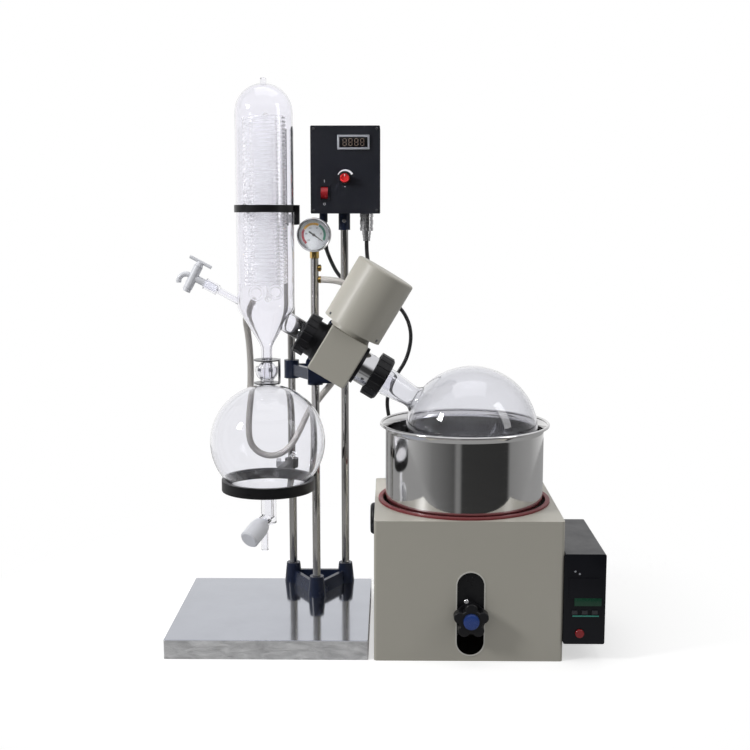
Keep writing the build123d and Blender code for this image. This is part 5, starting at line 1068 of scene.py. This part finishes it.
# Room seen in metal and glass, by bearing: white behind, grey at the sides, dark in front
ROOM = (
    (0.0, 1.0), (0.13, 0.95), (0.22, 0.62), (0.28, 0.42), (0.36, 0.2), (0.45, 0.09), (0.461, 0.24),
    (0.474, 0.22), (0.482, 0.04), (0.672, 0.035), (0.686, 0.26), (0.8, 0.36), (0.89, 0.62), (1.0, 1.0),
)
# Name, place, aim, width and height in metres, power in watts
LAMPS = (
    ("key_left", (-1.7, -0.95, 1.5), (0.1, 0, 0.5), (0.4, 0.5), 29.0),
    ("fill_right", (1.6, -0.7, 1.2), (0.3, 0, 0.4), (0.4, 1.2), 5.0),
    ("top", (0.2, 0.1, 2.3), (0.2, 0.0, 0.4), (1.6, 1.2), 11.0),
)
CAMERA_PLACE = (0.1986, -1.9153, 0.7103)
CAMERA_DIP = 7.97
CAMERA_TURN = 0.74


def build_floor():
    """A disc that takes the soft shadow round the part and glows white further out."""
    bm = bmesh.new()
    bmesh.ops.create_circle(bm, cap_ends=True, segments=96, radius=FLOOR_RADIUS)
    bmesh.ops.translate(bm, vec=FLOOR_CENTRE, verts=bm.verts)
    floor = to_object(bm, "studio_floor")
    tree, shader, coords = start_material("studio_floor")
    spread = new_node(tree, "ShaderNodeVectorMath", {1: SHADE_CENTRE}, operation="DISTANCE")
    shade = new_node(tree, "ShaderNodeMapRange",
                     {"From Min": 0.42, "From Max": 0.74, "To Min": 0.6, "To Max": 0.0},
                     interpolation_type="SMOOTHSTEP")
    path = new_node(tree, "ShaderNodeLightPath")
    mirrored = new_node(tree, "ShaderNodeMath", operation="SUBTRACT", use_clamp=True)
    bounce = maths(tree, "MAXIMUM")
    dim = maths(tree, "MULTIPLY_ADD", {1: -0.65, 2: 1.0})
    glow = maths(tree, "MULTIPLY_ADD", {1: -0.72, 2: 1.0})
    matte = maths(tree, "MULTIPLY")
    light = maths(tree, "MULTIPLY")
    wire(tree, (coords, "Object", spread, 0), (spread, "Value", shade, "Value"),
         (path, "Is Glossy Ray", mirrored, 0), (path, "Is Transmission Ray", mirrored, 1),
         (path, "Is Diffuse Ray", bounce, 0), (mirrored, "Value", bounce, 1), (bounce, "Value", dim, 0),
         (shade, "Result", glow, 0), (shade, "Result", matte, 0), (dim, "Value", matte, 1),
         (matte, "Value", shader, "Base Color"), (glow, "Value", light, 0), (dim, "Value", light, 1),
         (light, "Value", shader, "Emission Color"))
    set_sockets(shader, {"Roughness": 0.8, "Specular IOR Level": 0.0, "Emission Strength": 1.0})
    floor.data.materials.append(bpy.data.materials["studio_floor"])


def build_world(scene):
    """White for the camera, soft light for the part, and a room for metal and glass to show."""
    world = bpy.data.worlds.new("studio")
    scene.world = world
    world.use_nodes = True
    tree = world.node_tree
    tree.nodes.clear()
    path = new_node(tree, "ShaderNodeLightPath")
    coords = new_node(tree, "ShaderNodeTexCoord")
    split = new_node(tree, "ShaderNodeSeparateXYZ")
    front = maths(tree, "MULTIPLY", {1: -1.0})
    bearing = maths(tree, "ARCTAN2")
    turn = new_node(tree, "ShaderNodeMapRange", {"From Min": -pi, "From Max": pi})
    room = new_node(tree, "ShaderNodeValToRGB")
    stops = room.color_ramp.elements
    for k, (place, value) in enumerate(ROOM):
        stop = stops[k] if k in (0, 1) else stops.new(place)
        stop.position = place
        stop.color = (value, value, value, 1)
    roof = new_node(tree, "ShaderNodeMapRange", {"From Min": 0.18, "From Max": 0.55},
                    interpolation_type="SMOOTHSTEP")
    lofty = new_node(tree, "ShaderNodeMix", {"B": (0.86, 0.86, 0.88, 1)}, data_type="RGBA")
    seen = maths(tree, "MAXIMUM")
    # Glass passes the white studio wall on most of its way, from every side
    through = maths(tree, "MULTIPLY", {1: 0.7})
    wall = new_node(tree, "ShaderNodeMix", {"B": WHITE}, data_type="RGBA")
    sky = new_node(tree, "ShaderNodeMapRange",
                   {"From Min": -0.2, "From Max": 0.9, "To Min": 0.16, "To Max": 0.42})
    soft = new_node(tree, "ShaderNodeBackground", {"Color": WHITE})
    mirror = new_node(tree, "ShaderNodeBackground")
    white = new_node(tree, "ShaderNodeBackground", {"Color": WHITE})
    first = new_node(tree, "ShaderNodeMixShader")
    second = new_node(tree, "ShaderNodeMixShader")
    out = new_node(tree, "ShaderNodeOutputWorld")
    wire(tree, (coords, "Generated", split, "Vector"), (split, "Y", front, 0), (split, "X", bearing, 0),
         (front, "Value", bearing, 1), (bearing, "Value", turn, "Value"), (turn, "Result", room, "Fac"),
         (split, "Z", roof, "Value"), (roof, "Result", lofty, "Factor"), (room, "Color", lofty, "A"),
         (path, "Is Glossy Ray", seen, 0), (path, "Is Transmission Ray", seen, 1),
         (path, "Is Transmission Ray", through, 0), (through, "Value", wall, "Factor"),
         (lofty, "Result", wall, "A"), (wall, "Result", mirror, "Color"),
         (split, "Z", sky, "Value"), (sky, "Result", soft, "Strength"),
         (seen, "Value", first, "Fac"), (soft, "Background", first, 1), (mirror, "Background", first, 2),
         (path, "Is Camera Ray", second, "Fac"), (first, "Shader", second, 1),
         (white, "Background", second, 2), (second, "Shader", out, "Surface"))


class EVAP_OT_stage(bpy.types.Operator):
    """Set the pale floor, the soft lights and the camera"""

    bl_idname = "evap.stage"
    bl_label = "Studio"

    def execute(self, context):
        scene = context.scene
        scene.view_settings.view_transform = "Standard"
        build_floor()
        build_world(scene)
        for name, place, aim, size, power in LAMPS:
            data = bpy.data.lights.new(name, "AREA")
            data.shape = "RECTANGLE"
            data.size, data.size_y = size
            data.energy = power
            lamp = bpy.data.objects.new(name, data)
            lamp.location = place
            lamp.rotation_euler = (Vector(aim) - Vector(place)).to_track_quat("-Z", "Y").to_euler()
            lamp.visible_glossy = name != "top"
            scene.collection.objects.link(lamp)
        lens = bpy.data.cameras.new("view")
        lens.lens = 55.2
        lens.sensor_width = 36.0
        lens.clip_end = 50.0
        camera = bpy.data.objects.new("view", lens)
        camera.location = CAMERA_PLACE
        camera.rotation_euler = (radians(90 - CAMERA_DIP), 0, radians(CAMERA_TURN))
        scene.collection.objects.link(camera)
        scene.camera = camera
        return {"FINISHED"}


class EVAP_PT_panel(bpy.types.Panel):
    """Sidebar list of the evaporator's pieces"""

    bl_idname = "EVAP_PT_panel"
    bl_label = "Evaporator"
    bl_space_type = "VIEW_3D"
    bl_region_type = "UI"
    bl_category = "Evaporator"

    def draw(self, context):
        for operator in OPERATORS:
            self.layout.operator(operator.bl_idname)
        for group in (context.scene.evaporator_sizes, context.scene.evaporator_colours):
            for name in group.bl_rna.properties.keys():
                if name not in ("rna_type", "name"):
                    self.layout.prop(group, name)


OPERATORS = (
    EVAP_OT_finishes, EVAP_OT_cords, EVAP_OT_posts, EVAP_OT_flask, EVAP_OT_condenser, EVAP_OT_receiver,
    EVAP_OT_gauge, EVAP_OT_control_box, EVAP_OT_bath, EVAP_OT_controller, EVAP_OT_stage,
)
CLASSES = (EvaporatorSizes, EvaporatorColours, *OPERATORS, EVAP_PT_panel)


def register():
    for cls in CLASSES:
        bpy.utils.register_class(cls)
    bpy.types.Scene.evaporator_sizes = bpy.props.PointerProperty(type=EvaporatorSizes)
    bpy.types.Scene.evaporator_colours = bpy.props.PointerProperty(type=EvaporatorColours)


def unregister():
    del bpy.types.Scene.evaporator_colours
    del bpy.types.Scene.evaporator_sizes
    for cls in reversed(CLASSES):
        bpy.utils.unregister_class(cls)


def main():
    register()
    for operator in OPERATORS:
        group, name = operator.bl_idname.split(".")
        getattr(getattr(bpy.ops, group), name)()


if __name__ == "__main__":
    main()
